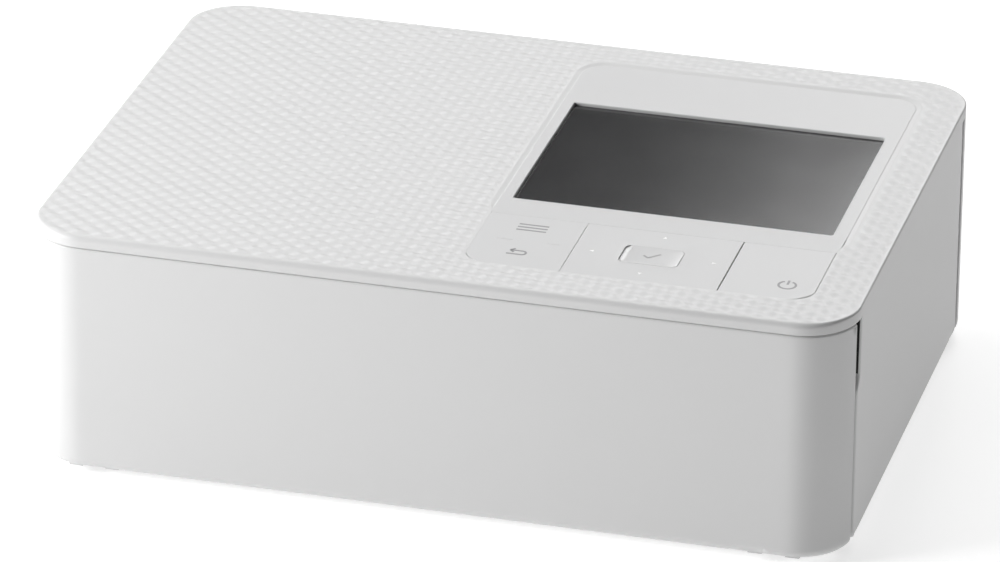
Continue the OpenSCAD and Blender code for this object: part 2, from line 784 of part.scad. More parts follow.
module pickup_roller() color(rubber) {
    for (s = [-1, 1])
        tube_x(path_x + s * 22 - 7, path_x + s * 22 + 7, pickup_p, pickup_r, shaft_r);
}

// ---- print head ----

head_x0 = path_x - head_half;
head_x1 = path_x + head_half;
head_z = paper_z + 1.2;

module thermal_head() color(dark) {
    box(head_x0, head_x1, 3, 17, head_z + 0.6, head_z + 1.8);
    // the raised heater line
    rod_x(head_x0 + 3, head_x1 - 3, [10, head_z + 0.9], 0.9);
}

module head_heatsink() color(steel) {
    box(head_x0, head_x1, 2, 18, head_z + 1.8, head_z + 5.2);
    for (k = [0:4]) box(head_x0 + 2, head_x1 - 2, 3.4 + 2.9 * k, 4.8 + 2.9 * k, head_z + 5.2 - eps, 38);
}

arm_z = 43.3;

module head_arm() color(steel) {
    difference() {
        union() {
            box(head_x0, head_x1, 2, 52, arm_z, arm_z + 1.2);
            box(head_x0, head_x1, 2, 3.2, head_z + 5.2, arm_z + eps);
            box(head_x0, head_x1, 16.9, 18, head_z + 5.2, arm_z + eps);
            for (x = [head_x0, head_x1 - 3]) {
                rod_x(x, x + 3, head_axis, 3.4);
                box(x, x + 3, 51, head_axis[0], head_axis[1], arm_z + 1.1);
            }
        }
        rod_x(head_x0 - 1, head_x1 + 1, head_axis, bush_r);
    }
}

module head_pivot_shaft() color(steel) {
    rod_x(left_x, right_x + plate_t, head_axis, shaft_r);
}

// ---- drive ----

motor_r = 15.0;

module feed_motor() color(steel) {
    rod_x(gear_plate_x - 14, gear_plate_x, pinion_p, motor_r);
    rod_x(gear_plate_x - 15.5, gear_plate_x - 14, pinion_p, 4);
}

module feed_pinion() color(brass) {
    difference() {
        union() {
            gear_x(gear_x, gear_x + gear_t, pinion_p, pinion_teeth, pinion_turn, 0.4);
            rod_x(gear_plate_x + 0.3, gear_x + eps, pinion_p, 2.2);
        }
        rod_x(gear_plate_x, gear_x + gear_t + 1, pinion_p, 0.5);
    }
}

module idler_gear() color(natural) {
    gear_x(gear_x, gear_x + gear_t, idler_p, idler_teeth, idler_turn, bush_r);
}

module idler_pin() color(steel) {
    rod_x(gear_plate_x, left_x + plate_t, idler_p, shaft_r);
}

module capstan_gear() color(natural) {
    gear_x(gear_x, gear_x + gear_t, capstan_p, capstan_teeth, capstan_turn, shaft_r);
}

module ribbon_motor() color(steel) {
    rod_x(gear_plate_x - 15, gear_plate_x, ribbon_p, 10);
}

module ribbon_pinion() color(brass) {
    difference() {
        union() {
            gear_x(gear_x, gear_x + gear_t, ribbon_p, ribbon_teeth, ribbon_turn, 0.4);
            rod_x(gear_plate_x + 0.3, gear_x + eps, ribbon_p, 2.2);
        }
        rod_x(gear_plate_x, gear_x + gear_t + 1, ribbon_p, 0.5);
    }
}

module take_up_gear() color(natural) {
    gear_x(gear_x, gear_x + gear_t, takeup_p, takeup_teeth, takeup_turn, 2);
    // the sleeve that reaches the spool through the left frame
    tube_x(gear_x + gear_t - eps, cassette_x0 + 1.5, takeup_p, 3.3, 2);
}

// ---- ink cassette ----

module spool(p, roll_r) {
    rod_x(cassette_x0 + 1.5, cassette_x1 - 6, p, 3.5);
    rod_x(path_x - ribbon_half, path_x + ribbon_half, p, roll_r);
}

module take_up_spool() color(dark) {
    spool(takeup_p, 5.5);
}

module supply_spool() color(dark) {
    spool(supply_p, 8.4);
}

// Half a cassette, seen from the side: a tube with a slot underneath for the ribbon
module cassette_tube(p) {
    translate(p) difference() {
        circle(tube_r);
        circle(tube_r - 1.5);
        translate([-2.5, -tube_r - 1]) square([5, 4]);
    }
}

module ink_cassette() color(dark) {
    for (p = [takeup_p, supply_p]) along_x(cassette_x0 + 1.5, cassette_x1 - 6) cassette_tube(p);
    // the end plates that join the two tubes
    for (e = [[cassette_x0, cassette_x0 + 1.5], [cassette_x1 - 6, cassette_x1 - 4.5]])
        along_x(e[0], e[1]) difference() {
            union() {
                for (p = [takeup_p, supply_p]) translate(p) circle(tube_r);
                translate([takeup_p[0], paper_z + 2]) square([supply_p[0] - takeup_p[0], 7]);
            }
            if (e[0] == cassette_x0) for (p = [takeup_p, supply_p]) translate(p) circle(3.7);
        }
    // the grip that the fingers pull
    box(cassette_x1 - 4.6, cassette_x1, -6, 26, 24, 26);
}

module ink_ribbon() color([0.55, 0.45, 0.12]) {
    film = 0.15;
    z = paper_z + 0.6;
    xa = path_x - ribbon_half + 1;
    xb = path_x + ribbon_half - 1;
    box(xa, xb, takeup_p[0], supply_p[0], z, z + film);
    box(xa, xb, takeup_p[0] - film, takeup_p[0] + film, z, takeup_p[1] - 5.8);
    box(xa, xb, supply_p[0] - film, supply_p[0] + film, z, supply_p[1] - 8.7);
}

module eject_lever() color(natural) difference() {
    union() {
        rod_z(lever_p[0], lever_p[1], 24.3, 36, 2.8);
        // the hook that holds the cassette, and the thumb tab
        box(lever_p[0] - 1.5, lever_p[0] + 0.7, lever_p[1], -25.5, 28, 32);
        box(lever_p[0] + 2, lever_p[0] + 5.5, lever_p[1] - 1.2, lever_p[1] + 1.2, 28, 32);
    }
    rod_z(lever_p[0], lever_p[1], 20, 40, bush_r);
}

top_cover();
base_tray();
left_panel();
rear_panel();
front_cover();
front_cover_pins();
side_door();
side_door_pins();
display_bezel();
display_glass();
lcd_module();
panel_frame();
left_key();
cross_key();
cross_key_carrier();
ok_key();
right_key();
key_mat();
panel_board();
main_board();
board_screws();
dc_inlet();
usb_socket();
card_slot();
rubber_feet();
case_screws();
left_frame();
right_frame();
gear_plate();
tie_bars();
paper_deck();
platen_roller();
platen_shaft();
capstan_roller();
pinch_roller();
pickup_roller();
pickup_shaft();
thermal_head();
head_heatsink();
head_arm();
head_pivot_shaft();
feed_motor();
feed_pinion();
idler_gear();
idler_pin();
capstan_gear();
ribbon_motor();
ribbon_pinion();
take_up_gear();
take_up_spool();
supply_spool();
ink_cassette();
ink_ribbon();
eject_lever();
display_cable();
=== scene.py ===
# %% [markdown]
# A compact photo printer, dressed
# --------------------------------
# The printer is a stack of moulded white shells round a small mechanism. The exact frame of
# solids is loaded first, and everything that shows is then modelled around it: shells with
# rounded edges, a bumpy top, a sunk control panel and the finishes. Lengths are written in
# millimetres, as a maker would, and turned into metres in one place.

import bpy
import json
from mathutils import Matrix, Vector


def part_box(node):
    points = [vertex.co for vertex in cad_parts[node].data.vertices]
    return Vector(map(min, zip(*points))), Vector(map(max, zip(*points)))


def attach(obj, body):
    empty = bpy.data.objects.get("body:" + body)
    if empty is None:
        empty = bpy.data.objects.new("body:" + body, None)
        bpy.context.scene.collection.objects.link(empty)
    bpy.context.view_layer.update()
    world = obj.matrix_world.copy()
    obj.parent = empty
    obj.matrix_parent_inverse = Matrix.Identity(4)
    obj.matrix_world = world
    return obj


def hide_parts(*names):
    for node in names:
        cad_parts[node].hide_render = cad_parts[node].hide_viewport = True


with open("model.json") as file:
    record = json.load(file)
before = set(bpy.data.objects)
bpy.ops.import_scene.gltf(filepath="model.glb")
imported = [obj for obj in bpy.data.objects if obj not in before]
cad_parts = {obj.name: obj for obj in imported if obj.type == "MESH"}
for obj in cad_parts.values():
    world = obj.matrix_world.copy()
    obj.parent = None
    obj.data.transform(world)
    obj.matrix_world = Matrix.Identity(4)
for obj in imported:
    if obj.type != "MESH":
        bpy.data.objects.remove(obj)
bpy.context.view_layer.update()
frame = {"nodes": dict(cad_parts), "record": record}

import json
import math

import bmesh
import bpy
import numpy as np
from mathutils import Matrix, Quaternion, Vector
from mathutils.geometry import delaunay_2d_cdt

MM = 0.001
MICRON = 0.001 * MM

# %% [markdown]
# The body's outer sizes follow from the frame. Two corners of a node's box say where its faces
# lie, so a shell that stands for a node starts from the same planes. A box says nothing about
# radii and wall thicknesses, so those are written out.

# %% Sizes read from the frame


def box_mm(node):
    low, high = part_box(node)
    return [v / MM for v in low], [v / MM for v in high]


front_low, front_high = box_mm("front_cover")
door_low, door_high = box_mm("side_door")
left_low, left_high = box_mm("left_panel")
rear_low, _ = box_mm("rear_panel")
bezel_low, bezel_high = box_mm("display_bezel")

_, (HALF_W, HALF_D, TOP_Z) = box_mm("top_cover")
BODY_Z = front_low[2]
CORNER_R = 12.7
WALL = 2.2
LIP_H = 2.9
LIP_Z = TOP_Z - LIP_H
ROOF_T = 2.0
PANEL_R = 5.0
print("body", 2 * HALF_W, "x", 2 * HALF_D, "x", TOP_Z, "mm")

# %% [markdown]
# Camera first. The photograph was taken with a long lens from the front, a little to the right
# and above. Its angles, distance and aim were worked out from the outline of the body, so the
# same numbers put this camera in the same place. A camera could also be aimed by hand, but then
# it would be off by a little.

# %% Camera
VIEW_TURN = math.radians(14.930)
VIEW_RISE = math.radians(25.223)
VIEW_ROLL = math.radians(0.463)
VIEW_DISTANCE = 1542.83
AIM_RIGHT, AIM_UP = -1.926, 22.919
FOOT_H = 1.6
SENSOR_W = 36.0
LENS_PER_SENSOR = 6.892375
CLIP_NEAR, CLIP_FAR = 0.05, 20


def in_scene(name, data):
    thing = bpy.data.objects.new(name, data)
    bpy.context.collection.objects.link(thing)
    return thing


def photo_camera():
    back = Vector((math.sin(VIEW_TURN) * math.cos(VIEW_RISE),
                   -math.cos(VIEW_TURN) * math.cos(VIEW_RISE), math.sin(VIEW_RISE)))
    level = (-back).cross(Vector((0, 0, 1))).normalized()
    upright = level.cross(-back)
    across = math.cos(VIEW_ROLL) * level + math.sin(VIEW_ROLL) * upright
    up = -math.sin(VIEW_ROLL) * level + math.cos(VIEW_ROLL) * upright
    place = back * VIEW_DISTANCE + across * AIM_RIGHT + up * AIM_UP + Vector((0, 0, FOOT_H))
    data = bpy.data.cameras.new("photo_camera")
    data.sensor_width = SENSOR_W
    data.lens = LENS_PER_SENSOR * SENSOR_W
    data.clip_start, data.clip_end = CLIP_NEAR, CLIP_FAR
    camera = in_scene("photo_camera", data)
    turn = Matrix((across, up, back)).transposed().to_4x4()
    camera.matrix_world = Matrix.Translation(place * MM) @ turn
    bpy.context.scene.camera = camera
    return camera


camera = photo_camera()
print("camera at", [round(v, 3) for v in camera.location])

# %% [markdown]
# Shader sums are easier to read as arithmetic than as a row of nodes. This small class wraps a
# socket, so that `0.3 + 0.2 * grain` adds the Math nodes it needs. Every other kind of node
# comes from one method, which sets the node's own settings first and then its sockets.

# %% A socket that can do sums


class Wire:
    def __init__(self, tree, socket=None):
        self.tree = tree
        self.socket = socket

    def node(self, kind, sockets=None, out=0, **settings):
        made = self.tree.nodes.new(kind)
        for key, value in settings.items():
            setattr(made, key, value)
        for key, value in (sockets or {}).items():
            if isinstance(value, Wire):
                self.tree.links.new(value.socket, made.inputs[key])
            else:
                made.inputs[key].default_value = value
        return Wire(self.tree, made.outputs[out])

    def __add__(self, other):
        return self.node("ShaderNodeMath", {0: self, 1: other}, operation="ADD")

    __radd__ = __add__

    def __mul__(self, other):
        return self.node("ShaderNodeMath", {0: self, 1: other}, operation="MULTIPLY")

    __rmul__ = __mul__

    def mixed(self, low, high):
        """A colour that goes from low to high as this value goes from 0 to 1."""
        sockets = {0: self, 6: (*low, 1), 7: (*high, 1)}
        return self.node("ShaderNodeMix", sockets, out=2, data_type="RGBA")


# %% [markdown]
# A material starts as one Principled shader. What is the same all over the surface is a plain
# number on the shader's own socket, and only what changes over the surface is linked. Object
# coordinates are in metres here, so a texture's scale is its number of features per metre.

# %% Materials start here


def new_material(name, **constants):
    material = bpy.data.materials.new(name)
    material.use_nodes = True
    shader = material.node_tree.nodes["Principled BSDF"]
    for key, value in constants.items():
        shader.inputs[key.replace("_", " ").title().replace("Ior", "IOR")].default_value = value
    return material, Wire(material.node_tree).node("ShaderNodeTexCoord", out=3)


def plug(socket, wire):
    wire.tree.links.new(wire.socket, wire.tree.nodes["Principled BSDF"].inputs[socket])


def speckle(places, per_metre, detail=2.0):
    sockets = {"Vector": places, "Scale": per_metre, "Detail": detail}
    return places.node("ShaderNodeTexNoise", sockets)


def dent(height, strength, microns):
    sockets = {"Height": height, "Strength": strength, "Distance": microns * MICRON}
    return height.node("ShaderNodeBump", sockets)


def stretched(places, x, y, z):
    return places.node("ShaderNodeMapping", {"Vector": places, "Scale": (x, y, z)})


def textured(material, tint, low, high, grain, smoothest, spread, dents, microns):
    """Shades a material by one texture, and roughens and dents it by another."""
    plug("Base Color", tint.mixed(low, high))
    plug("Roughness", smoothest + spread * grain)
    plug("Normal", dent(grain, dents, microns))
    return material


# %% [markdown]
# The casing is white satin plastic. A mould is etched, so the surface has a grain far finer than
# a millimetre, and the colour drifts very slightly where the melt flowed. Both are noise: one
# fine, which dents the surface, and one coarse, which shades it by a percent or two. The same
# recipe gives the keys a fainter grain and the middle key a glossier face. The arrows get a pure
# white, which is a painted highlight: it stands for the glints on their raised faces.

# %% White casing plastic
DRIFT = 0.012


def moulded_plastic(name, colour, roughness, dents=0.35):
    material, places = new_material(name, roughness=roughness, ior=1.46)
    flow = speckle(places, per_metre=34.0)
    grains = speckle(places, per_metre=5200.0, detail=3.0)
    return textured(material, tint=flow, low=[c - DRIFT for c in colour], high=colour,
                    grain=grains, smoothest=roughness - 0.03, spread=0.06, dents=dents, microns=20)


WHITE = moulded_plastic("white_casing", (0.66, 0.66, 0.66), 0.42)
PANEL = moulded_plastic("panel_white", (0.62, 0.62, 0.622), 0.42, dents=0.15)
GLOSS = moulded_plastic("panel_gloss", (0.62, 0.62, 0.622), 0.26, dents=0.05)
# The arrows' pure white below is painted highlight: it stands for the glints on their raised faces.
ARROW_PAINTED_HIGHLIGHT = moulded_plastic("arrow_painted_highlight", (0.93, 0.93, 0.93), 0.4, dents=0.1)
CASING = ("white_shell", WHITE)
KEY_PLASTIC = ("panel_white", PANEL)
print("made", WHITE.name, PANEL.name, GLOSS.name, "and", ARROW_PAINTED_HIGHLIGHT.name)

# %% [markdown]
# Mesh tools. Every shell on this printer is a plate: an outline, perhaps with holes, a wall
# thickness and rounded edges, laid flat or wrapped round the body. So one tool makes them all.
# Outlines are lists of points with arcs worked out from a centre and a radius.

# %% Outlines
TINY = 1e-9


def arc(cx, cy, r, start, end, steps):
    angles = np.radians(np.linspace(start, end, steps + 1))
    return np.column_stack((cx + r * np.cos(angles), cy + r * np.sin(angles)))


def rounded(x0, x1, y0, y1, radii, steps=8, reach=4.0):
    """A rectangle with its own radius at each corner, from front left to front right, back right
    and back left."""
    r = radii if isinstance(radii, list) else [radii] * 4
    corners = [(x0, y0, 1, 1, 180), (x1, y0, -1, 1, 270), (x1, y1, -1, -1, 0), (x0, y1, 1, -1, 90)]
    turns = [arc(x + sx * radius, y + sy * radius, radius, start, start + 90, steps)
             for (x, y, sx, sy, start), radius in zip(corners, r)]
    return split_long(np.vstack(turns), reach)


def split_long(points, reach):
    """Adds points along the straight runs, so that the outline can bend."""
    out = []
    for a, b in zip(points, np.roll(points, -1, axis=0)):
        n = max(1, int(math.ceil(np.linalg.norm(b - a) / reach)))
        out.extend(a + (b - a) * k / n for k in range(n))
    return np.array(out)


def unit(steps):
    return steps / np.maximum(np.linalg.norm(steps, axis=1, keepdims=True), TINY)


def left_of(steps):
    return unit(np.column_stack((-steps[:, 1], steps[:, 0])))


def drawn_in(points, d):
    """The outline, moved d towards its inside (its points run anticlockwise)."""
    ahead = left_of(np.roll(points, -1, axis=0) - points)
    behind = left_of(points - np.roll(points, 1, axis=0))
    mean = unit(behind + ahead)
    spread = np.maximum((mean * ahead).sum(axis=1), 0.5)
    return points + mean * (d / spread)[:, None]


def inside(points, loop):
    """Which points lie inside a closed loop."""
    x, y = points[:, 0], points[:, 1]
    result = np.zeros(len(points), bool)
    for (ax, ay), (bx, by) in zip(loop, np.roll(loop, -1, axis=0)):
        crosses = (ay > y) != (by > y)
        if ay != by:
            result ^= crosses & (x < (bx - ax) * (y - ay) / (by - ay) + ax)
    return result


print("a 20 x 10 mm outline with 2 mm corners has", len(rounded(0, 20, 0, 10, 2.0)), "points")

# %% [markdown]
# The plate itself. A constrained triangulation fills the face between the outline and the
# holes, through a grid of inner points that lets the face carry bumps or wrap round a corner.
# The edge is a profile: pairs of how far in from the outline and how deep below the face. It
# could be a Bevel modifier instead, but a profile made in code keeps exact sizes at the edge.

# %% The plate tool
SOFT_DEPTH = 1.25
COLLAR = 0.25
GRID_CLEAR = 0.45
SAME_POINT = 1e-7


def turned_over(r, steps):
    """Over a rounded edge. A flat collar comes first, which keeps the edge's shading off the face."""
    turn = [math.pi / 2 * k / steps for k in range(steps + 1)]
    return [(r + COLLAR, 0)] + [(r * (1 - math.sin(a)), r * (1 - math.cos(a))) for a in turn]


def edge_profile(r, depth, back=0.25, steps=4):
    """From the face, over a rounded edge, down the wall and over a small back edge."""
    turn = [math.pi / 2 * k / steps for k in range(0, steps + 1, 2)]
    rear = [(back * (1 - math.cos(a)), depth - back * (1 - math.sin(a))) for a in turn]
    return turned_over(r, steps) + rear


def graded(*runs):
    """Grid lines in runs of (start, end, step), so that they lie close where a plate bends."""
    return np.concatenate([np.arange(*run) for run in runs])


def between(loops, points, clear=0.0):
    """Which points lie inside the first loop and outside the others, and clear of all."""
    keep = inside(points, drawn_in(loops[0], clear))
    for hole in loops[1:]:
        keep &= ~inside(points, drawn_in(hole, -clear))
    return keep


def filled(loops, pitch, grid_x=None, grid_y=None):
    """Triangles between the first loop and the others, through a grid of inner points."""
    x0, y0 = loops[0].min(axis=0)
    x1, y1 = loops[0].max(axis=0)
    gx = np.arange(x0 + pitch / 2, x1, pitch) if grid_x is None else grid_x
    gy = np.arange(y0 + pitch / 2, y1, pitch) if grid_y is None else grid_y
    cells = np.array([(x, y) for y in gy for x in gx])
    clear = GRID_CLEAR * min(np.diff(g).min() if len(g) > 1 else pitch for g in (gx, gy))
    rings = np.vstack(loops)
    points = np.vstack((rings, cells[between(loops, cells, clear)]))
    edges = []
    start = 0
    for loop in loops:
        n = len(loop)
        edges.extend((start + k, start + (k + 1) % n) for k in range(n))
        start += n
    made = delaunay_2d_cdt([Vector(p) for p in points], edges, [], 0, SAME_POINT)
    verts = np.array([tuple(v) for v in made[0]])
    faces = np.array([f for f in made[2] if len(f) == 3])
    faces = faces[between(loops, verts[faces].mean(axis=1))]
    back = {ids[0]: i for i, ids in enumerate(made[3]) if ids}
    return verts, faces, [back[k] for k in range(len(rings))]


def plate(name, outline, profile, place, holes=(), pitch=6.0, back_pitch=8.0,
          grid_x=None, grid_y=None, soften=None):
    """A closed shell. holes is a list of (loop, profile). place turns (s, t, depth) into mm.
    soften gives each edge point the shares of the profile's width and depth that it takes."""
    verts, faces = [], []

    def add(points, depth):
        verts.extend((*p, d) for p, d in zip(points, np.broadcast_to(depth, len(points))))
        return len(verts) - len(points)

    rims = [(outline, profile, 1)] + [(loop, shape, -1) for loop, shape in holes]
    shares = [np.array(soften(loop)) if soften else np.ones((2, len(loop))) for loop, _, _ in rims]
    fronts = [drawn_in(loop, sign * shape[0][0] * share[0])
              for (loop, shape, sign), share in zip(rims, shares)]
    backs = [drawn_in(loop, sign * shape[-1][0]) for loop, shape, sign in rims]
    front_points, front_faces, front_ring = filled(fronts, pitch, grid_x, grid_y)
    add(front_points, profile[0][1])
    faces.extend(front_faces)
    back_points, back_faces, back_ring = filled(backs, back_pitch)
    back_first = add(back_points, profile[-1][1])
    faces.extend(back_first + back_faces[:, ::-1])
    offset = 0
    for (loop, shape, sign), share in zip(rims, shares):
        n = len(loop)
        rows = [front_ring[offset:offset + n]]
        for inset, depth in shape[1:-1]:
            narrow, shallow = share if depth < SOFT_DEPTH else (1, 1)
            first = add(drawn_in(loop, sign * inset * narrow), depth * shallow)
            rows.append(range(first, first + n))
        rows.append([back_first + i for i in back_ring[offset:offset + n]])
        for upper, lower in zip(rows, rows[1:]):
            for k in range(n):
                m = (k + 1) % n
                faces.append((upper[k], lower[k], lower[m], upper[m])[::sign])
        offset += n
    return mesh_piece(name, place(np.array(verts)), faces, smooth=True)


def mesh_piece(name, points, faces, smooth=False):
    mesh = bpy.data.meshes.new(name)
    corners = [tuple(p) for p in np.asarray(points) * MM]
    mesh.from_pydata(corners, [], [tuple(map(int, face)) for face in faces])
    mesh.validate()
    work = bmesh.new()
    work.from_mesh(mesh)
    bmesh.ops.recalc_face_normals(work, faces=work.faces)
    work.to_mesh(mesh)
    work.free()
    if smooth:
        mesh.shade_smooth()
    return in_scene(name, mesh)


def dress(piece, body, slot, material, replaces=()):
    piece.data.materials.clear()
    piece.data.materials.append(material)
    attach(piece, body)
    if replaces:
        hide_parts(*replaces)
    print(piece.name, "on", body, "with", len(piece.data.polygons), "faces")


print("a half-millimetre edge on a wall has", len(edge_profile(0.5, WALL)), "steps")


# %% [markdown]
# The top cover carries the printer's one pattern: low, smooth bumps in staggered rows, from the
# rim to the sunk panel. The rows repeat every 5.18 mm across and 4.24 mm back, and the bumps are
# about a quarter of a millimetre high. A bump texture would vanish in the outline, so the bumps
# are real: two waves that cross, over a fine grid of points.

# %% Top cover with its bumps
BUMP_X, BUMP_Y = 5.184, 4.24
BUMP_SHIFT_X, BUMP_SHIFT_Y = 1.30, 0.30
BUMP_H = 0.27
BUMP_CRISP = 0.96
SAMPLES_X, SAMPLES_Y = 9, 8
ROUND_R = 1.2
RIM_FLAT, RIM_RISE = 0.6, 1.1
PANEL_SLOPE, PANEL_RISE = 1.9, 0.8
PANEL_PLAY = 0.1
KEYS_FRONT, KEYS_BACK = -54.65, -29.5
TIGHT_WIDTH, TIGHT_DEPTH = 0.1, 0.03
SIDE_TIGHTER = 0.65

panel_x0, panel_x1 = bezel_low[0] - PANEL_PLAY, bezel_high[0] + PANEL_PLAY
panel_y0, panel_y1 = KEYS_FRONT, bezel_high[1] + PANEL_PLAY
panel_hole = rounded(panel_x0, panel_x1, panel_y0, panel_y1, PANEL_R, steps=12, reach=1.0)


def rounded_distance(x, y, x0, x1, y0, y1, r):
    """How far a point lies outside a rounded rectangle (negative inside)."""
    qx = np.abs(x - (x0 + x1) / 2) - ((x1 - x0) / 2 - r)
    qy = np.abs(y - (y0 + y1) / 2) - ((y1 - y0) / 2 - r)
    outside = np.hypot(np.maximum(qx, 0), np.maximum(qy, 0))
    return outside + np.minimum(np.maximum(qx, qy), 0) - r


def eased(v, low, high):
    t = np.clip((v - low) / (high - low), 0, 1)
    return t * t * (3 - 2 * t)


def from_panel(x, y):
    return rounded_distance(x, y, panel_x0, panel_x1, panel_y0, panel_y1, PANEL_R)


def widened(tight, y):
    """A share that is tight beside the keys and grows to 1 beside the screen."""
    return tight + (1 - tight) * eased(y, KEYS_BACK + 0.3, KEYS_BACK + 6.0)


def edge_shares(points):
    """The panel's rim slopes beside the screen and is tight beside the keys. The body's own edge
    is round in front and behind, and tight at the sides."""
    x, y = points.T
    on_body = from_panel(x, y) > 3
    sideways = np.clip((np.abs(x) - (HALF_W - CORNER_R)) / CORNER_R, 0, 1) ** 2
    return [np.where(on_body, 1.0 - SIDE_TIGHTER * sideways, widened(tight, y))
            for tight in (TIGHT_WIDTH, TIGHT_DEPTH)]


def ridge_wave(angle):
    """Between a cosine and a zigzag: straight flanks, and crests that are a little soft."""
    return np.arcsin(BUMP_CRISP * np.cos(angle)) / math.asin(BUMP_CRISP)


def top_place(v):
    x, y, depth = v.T
    rim = -rounded_distance(x, y, -HALF_W, HALF_W, -HALF_D, HALF_D, CORNER_R)
    slope = PANEL_SLOPE * widened(TIGHT_WIDTH, y)
    field = eased(rim, RIM_FLAT, RIM_FLAT + RIM_RISE)
    field *= eased(from_panel(x, y), slope, slope + PANEL_RISE)
    across = 2 * np.pi * (x + BUMP_SHIFT_X) / BUMP_X
    along = 2 * np.pi * (y + BUMP_SHIFT_Y) / BUMP_Y
    bump = BUMP_H / 2 * (ridge_wave(across + along) + ridge_wave(across - along))
    surface = np.where(depth < 0.01, field * bump, 0)
    return np.column_stack((x, y, TOP_Z - BUMP_H - depth + surface))


def top_cover():
    """A rounded top edge and a square lip, and a gentle slope down to the panel."""
    outline = rounded(-HALF_W, HALF_W, -HALF_D, HALF_D, CORNER_R, steps=20, reach=1.2)
    lip = LIP_H - BUMP_H
    rim = turned_over(ROUND_R, 6) + [(0, ROUND_R + 0.15), (0, lip - 0.15), (0, lip - 0.03)]
    rim += [(0.02, lip), (WALL, lip), (WALL, ROOF_T)]
    sink = [(PANEL_SLOPE, 0), (1.6, 0.04), (1.25, 0.15), (0.9, 0.29), (0.5, 0.42), (0.25, 0.47),
            (0.1, 0.58), (0.05, 0.75), (0.05, 1.8)]
    gx = np.arange(-HALF_W + 0.3, HALF_W, BUMP_X / SAMPLES_X)
    gy = np.arange(-HALF_D + 0.3, HALF_D, BUMP_Y / SAMPLES_Y)
    return plate("top_shell", outline, rim, top_place, [(panel_hole, sink)], grid_x=gx, grid_y=gy,
                 soften=edge_shares)


dress(top_cover(), "case", *CASING, ["top_cover"])

# %% [markdown]
# The skirts round the body are wrapped plates. A point on such a plate has three numbers: how
# far along the body's outline, how far up a profile that starts under the body and turns up
# through a small fillet, and how deep into the wall. Wrapping is then two lookups.

# %% Wrapping a plate round the body
BOTTOM_R = 2.3


def up_the_profile(t, depth, flange):
    """Height on the plate's face turned into (inset from the outer outline, height)."""
    run = flange - BOTTOM_R
    bend = BOTTOM_R * math.pi / 2
    a = np.clip((t - run) / BOTTOM_R, 0, math.pi / 2)
    r = BOTTOM_R - depth
    inset = BOTTOM_R - r * np.sin(a) + np.where(t < run, run - t, 0)
    height = BODY_Z + BOTTOM_R - r * np.cos(a) + np.where(t > run + bend, t - run - bend, 0)
    return inset, height


def profile_length(height, flange):
    return flange - BOTTOM_R + BOTTOM_R * math.pi / 2 + (height - BODY_Z - BOTTOM_R)


QUARTER = CORNER_R * math.pi / 2


def round_the_front(s, inset, sign=-1):
    """Distance from the middle of the front (or back) face, along the outline, to (x, y)."""
    straight = HALF_W - CORNER_R
    a = np.clip((np.abs(s) - straight) / CORNER_R, 0, math.pi / 2)
    past = np.maximum(np.abs(s) - straight - QUARTER, 0)
    r = CORNER_R - inset
    x = np.sign(s) * (np.minimum(np.abs(s), straight) + r * np.sin(a))
    y = (HALF_D - CORNER_R) + r * np.cos(a) - past
    return x, sign * y


print("a corner adds", round(QUARTER, 2), "mm to the way round")


# %% [markdown]
# The front cover is the first skirt. Its wings reach round both corners, and two notches in its
# foot let the base's ears through, on which it turns. It is one plate, so no seam shows.

# %% Front cover
FRONT_FLANGE = 5.0
WING_Y = front_high[1]
WING_ANGLE = math.acos((abs(WING_Y) - (HALF_D - CORNER_R)) / CORNER_R)
FRONT_REACH = HALF_W - CORNER_R + CORNER_R * WING_ANGLE
COVER_Z = front_high[2] + 0.25
EARS = (-76.0, 76.0)
EAR_HALF = 2.4
POCKET_WALL, POCKET_TOP = 1.0, 9.5


def wing_outline(reach, flange, top, low_r, high_r):
    """The unrolled outline, with the wings' rear corners rounded."""
    foot = profile_length(BODY_Z + BOTTOM_R, flange) - 0.6
    low, high = reach - low_r, reach - high_r
    points = np.vstack(([(-low, 0.0), (low, 0.0)],
                        arc(low, foot, low_r, -50, 0, 5),
                        arc(high, top - high_r, high_r, 0, 90, 6),
                        arc(-high, top - high_r, high_r, 90, 180, 6),
                        arc(-low, foot, low_r, 180, 230, 5)))
    return split_long(points, reach=2.0)


def front_place(v):
    """Wraps the front cover, with a thinner wall round the ears that it turns on."""
    s, t, depth = v.T
    x_now = np.clip(s, -HALF_W, HALF_W)
    pocket = np.zeros_like(s)
    for ear in EARS:
        near = 1 - eased(np.abs(x_now - ear), EAR_HALF, EAR_HALF + 0.6)
        pocket = np.maximum(pocket, near * (1 - eased(t, POCKET_TOP, POCKET_TOP + 0.8)))
    depth = np.where(depth > POCKET_WALL, depth - pocket * (depth - POCKET_WALL), depth)
    inset, height = up_the_profile(t, depth, FRONT_FLANGE)
    x, y = round_the_front(s, inset)
    return np.column_stack((x, y, height))


def ear_notch(x):
    return rounded(x - EAR_HALF, x + EAR_HALF, 0.9, 4.1, 0.4, steps=2, reach=1.0)


def front_shell():
    top = profile_length(COVER_Z, FRONT_FLANGE)
    outline = wing_outline(FRONT_REACH, FRONT_FLANGE, top, low_r=2.4, high_r=0.6)
    gx = graded((-FRONT_REACH, -74, 1.0), (-72, 72, 6.0), (74, FRONT_REACH, 1.0))
    gy = graded((0.4, 7.2, 0.6), (10, top, 4.0))
    holes = [(ear_notch(x), edge_profile(0.15, WALL, 0.1, 2)) for x in EARS]
    return plate("front_shell", outline, edge_profile(0.45, WALL), front_place, holes,
                 grid_x=gx, grid_y=gy, back_pitch=2.5)


dress(front_shell(), "front_cover", *CASING, ["front_cover"])

# %% [markdown]
# The side door is the same plate laid flat against the right side. Its upper front corner is
# scooped out for a finger, and its rear edge is rounded so that it can swing.

# %% Side door
SIDE_FLANGE = 4.6
NOTCH_Z = 42.0
NOTCH_TOP, NOTCH_FOOT = 2.5, 2.1
DOOR_Z = LIP_Z - 0.01
REAR_CURL = 1.4


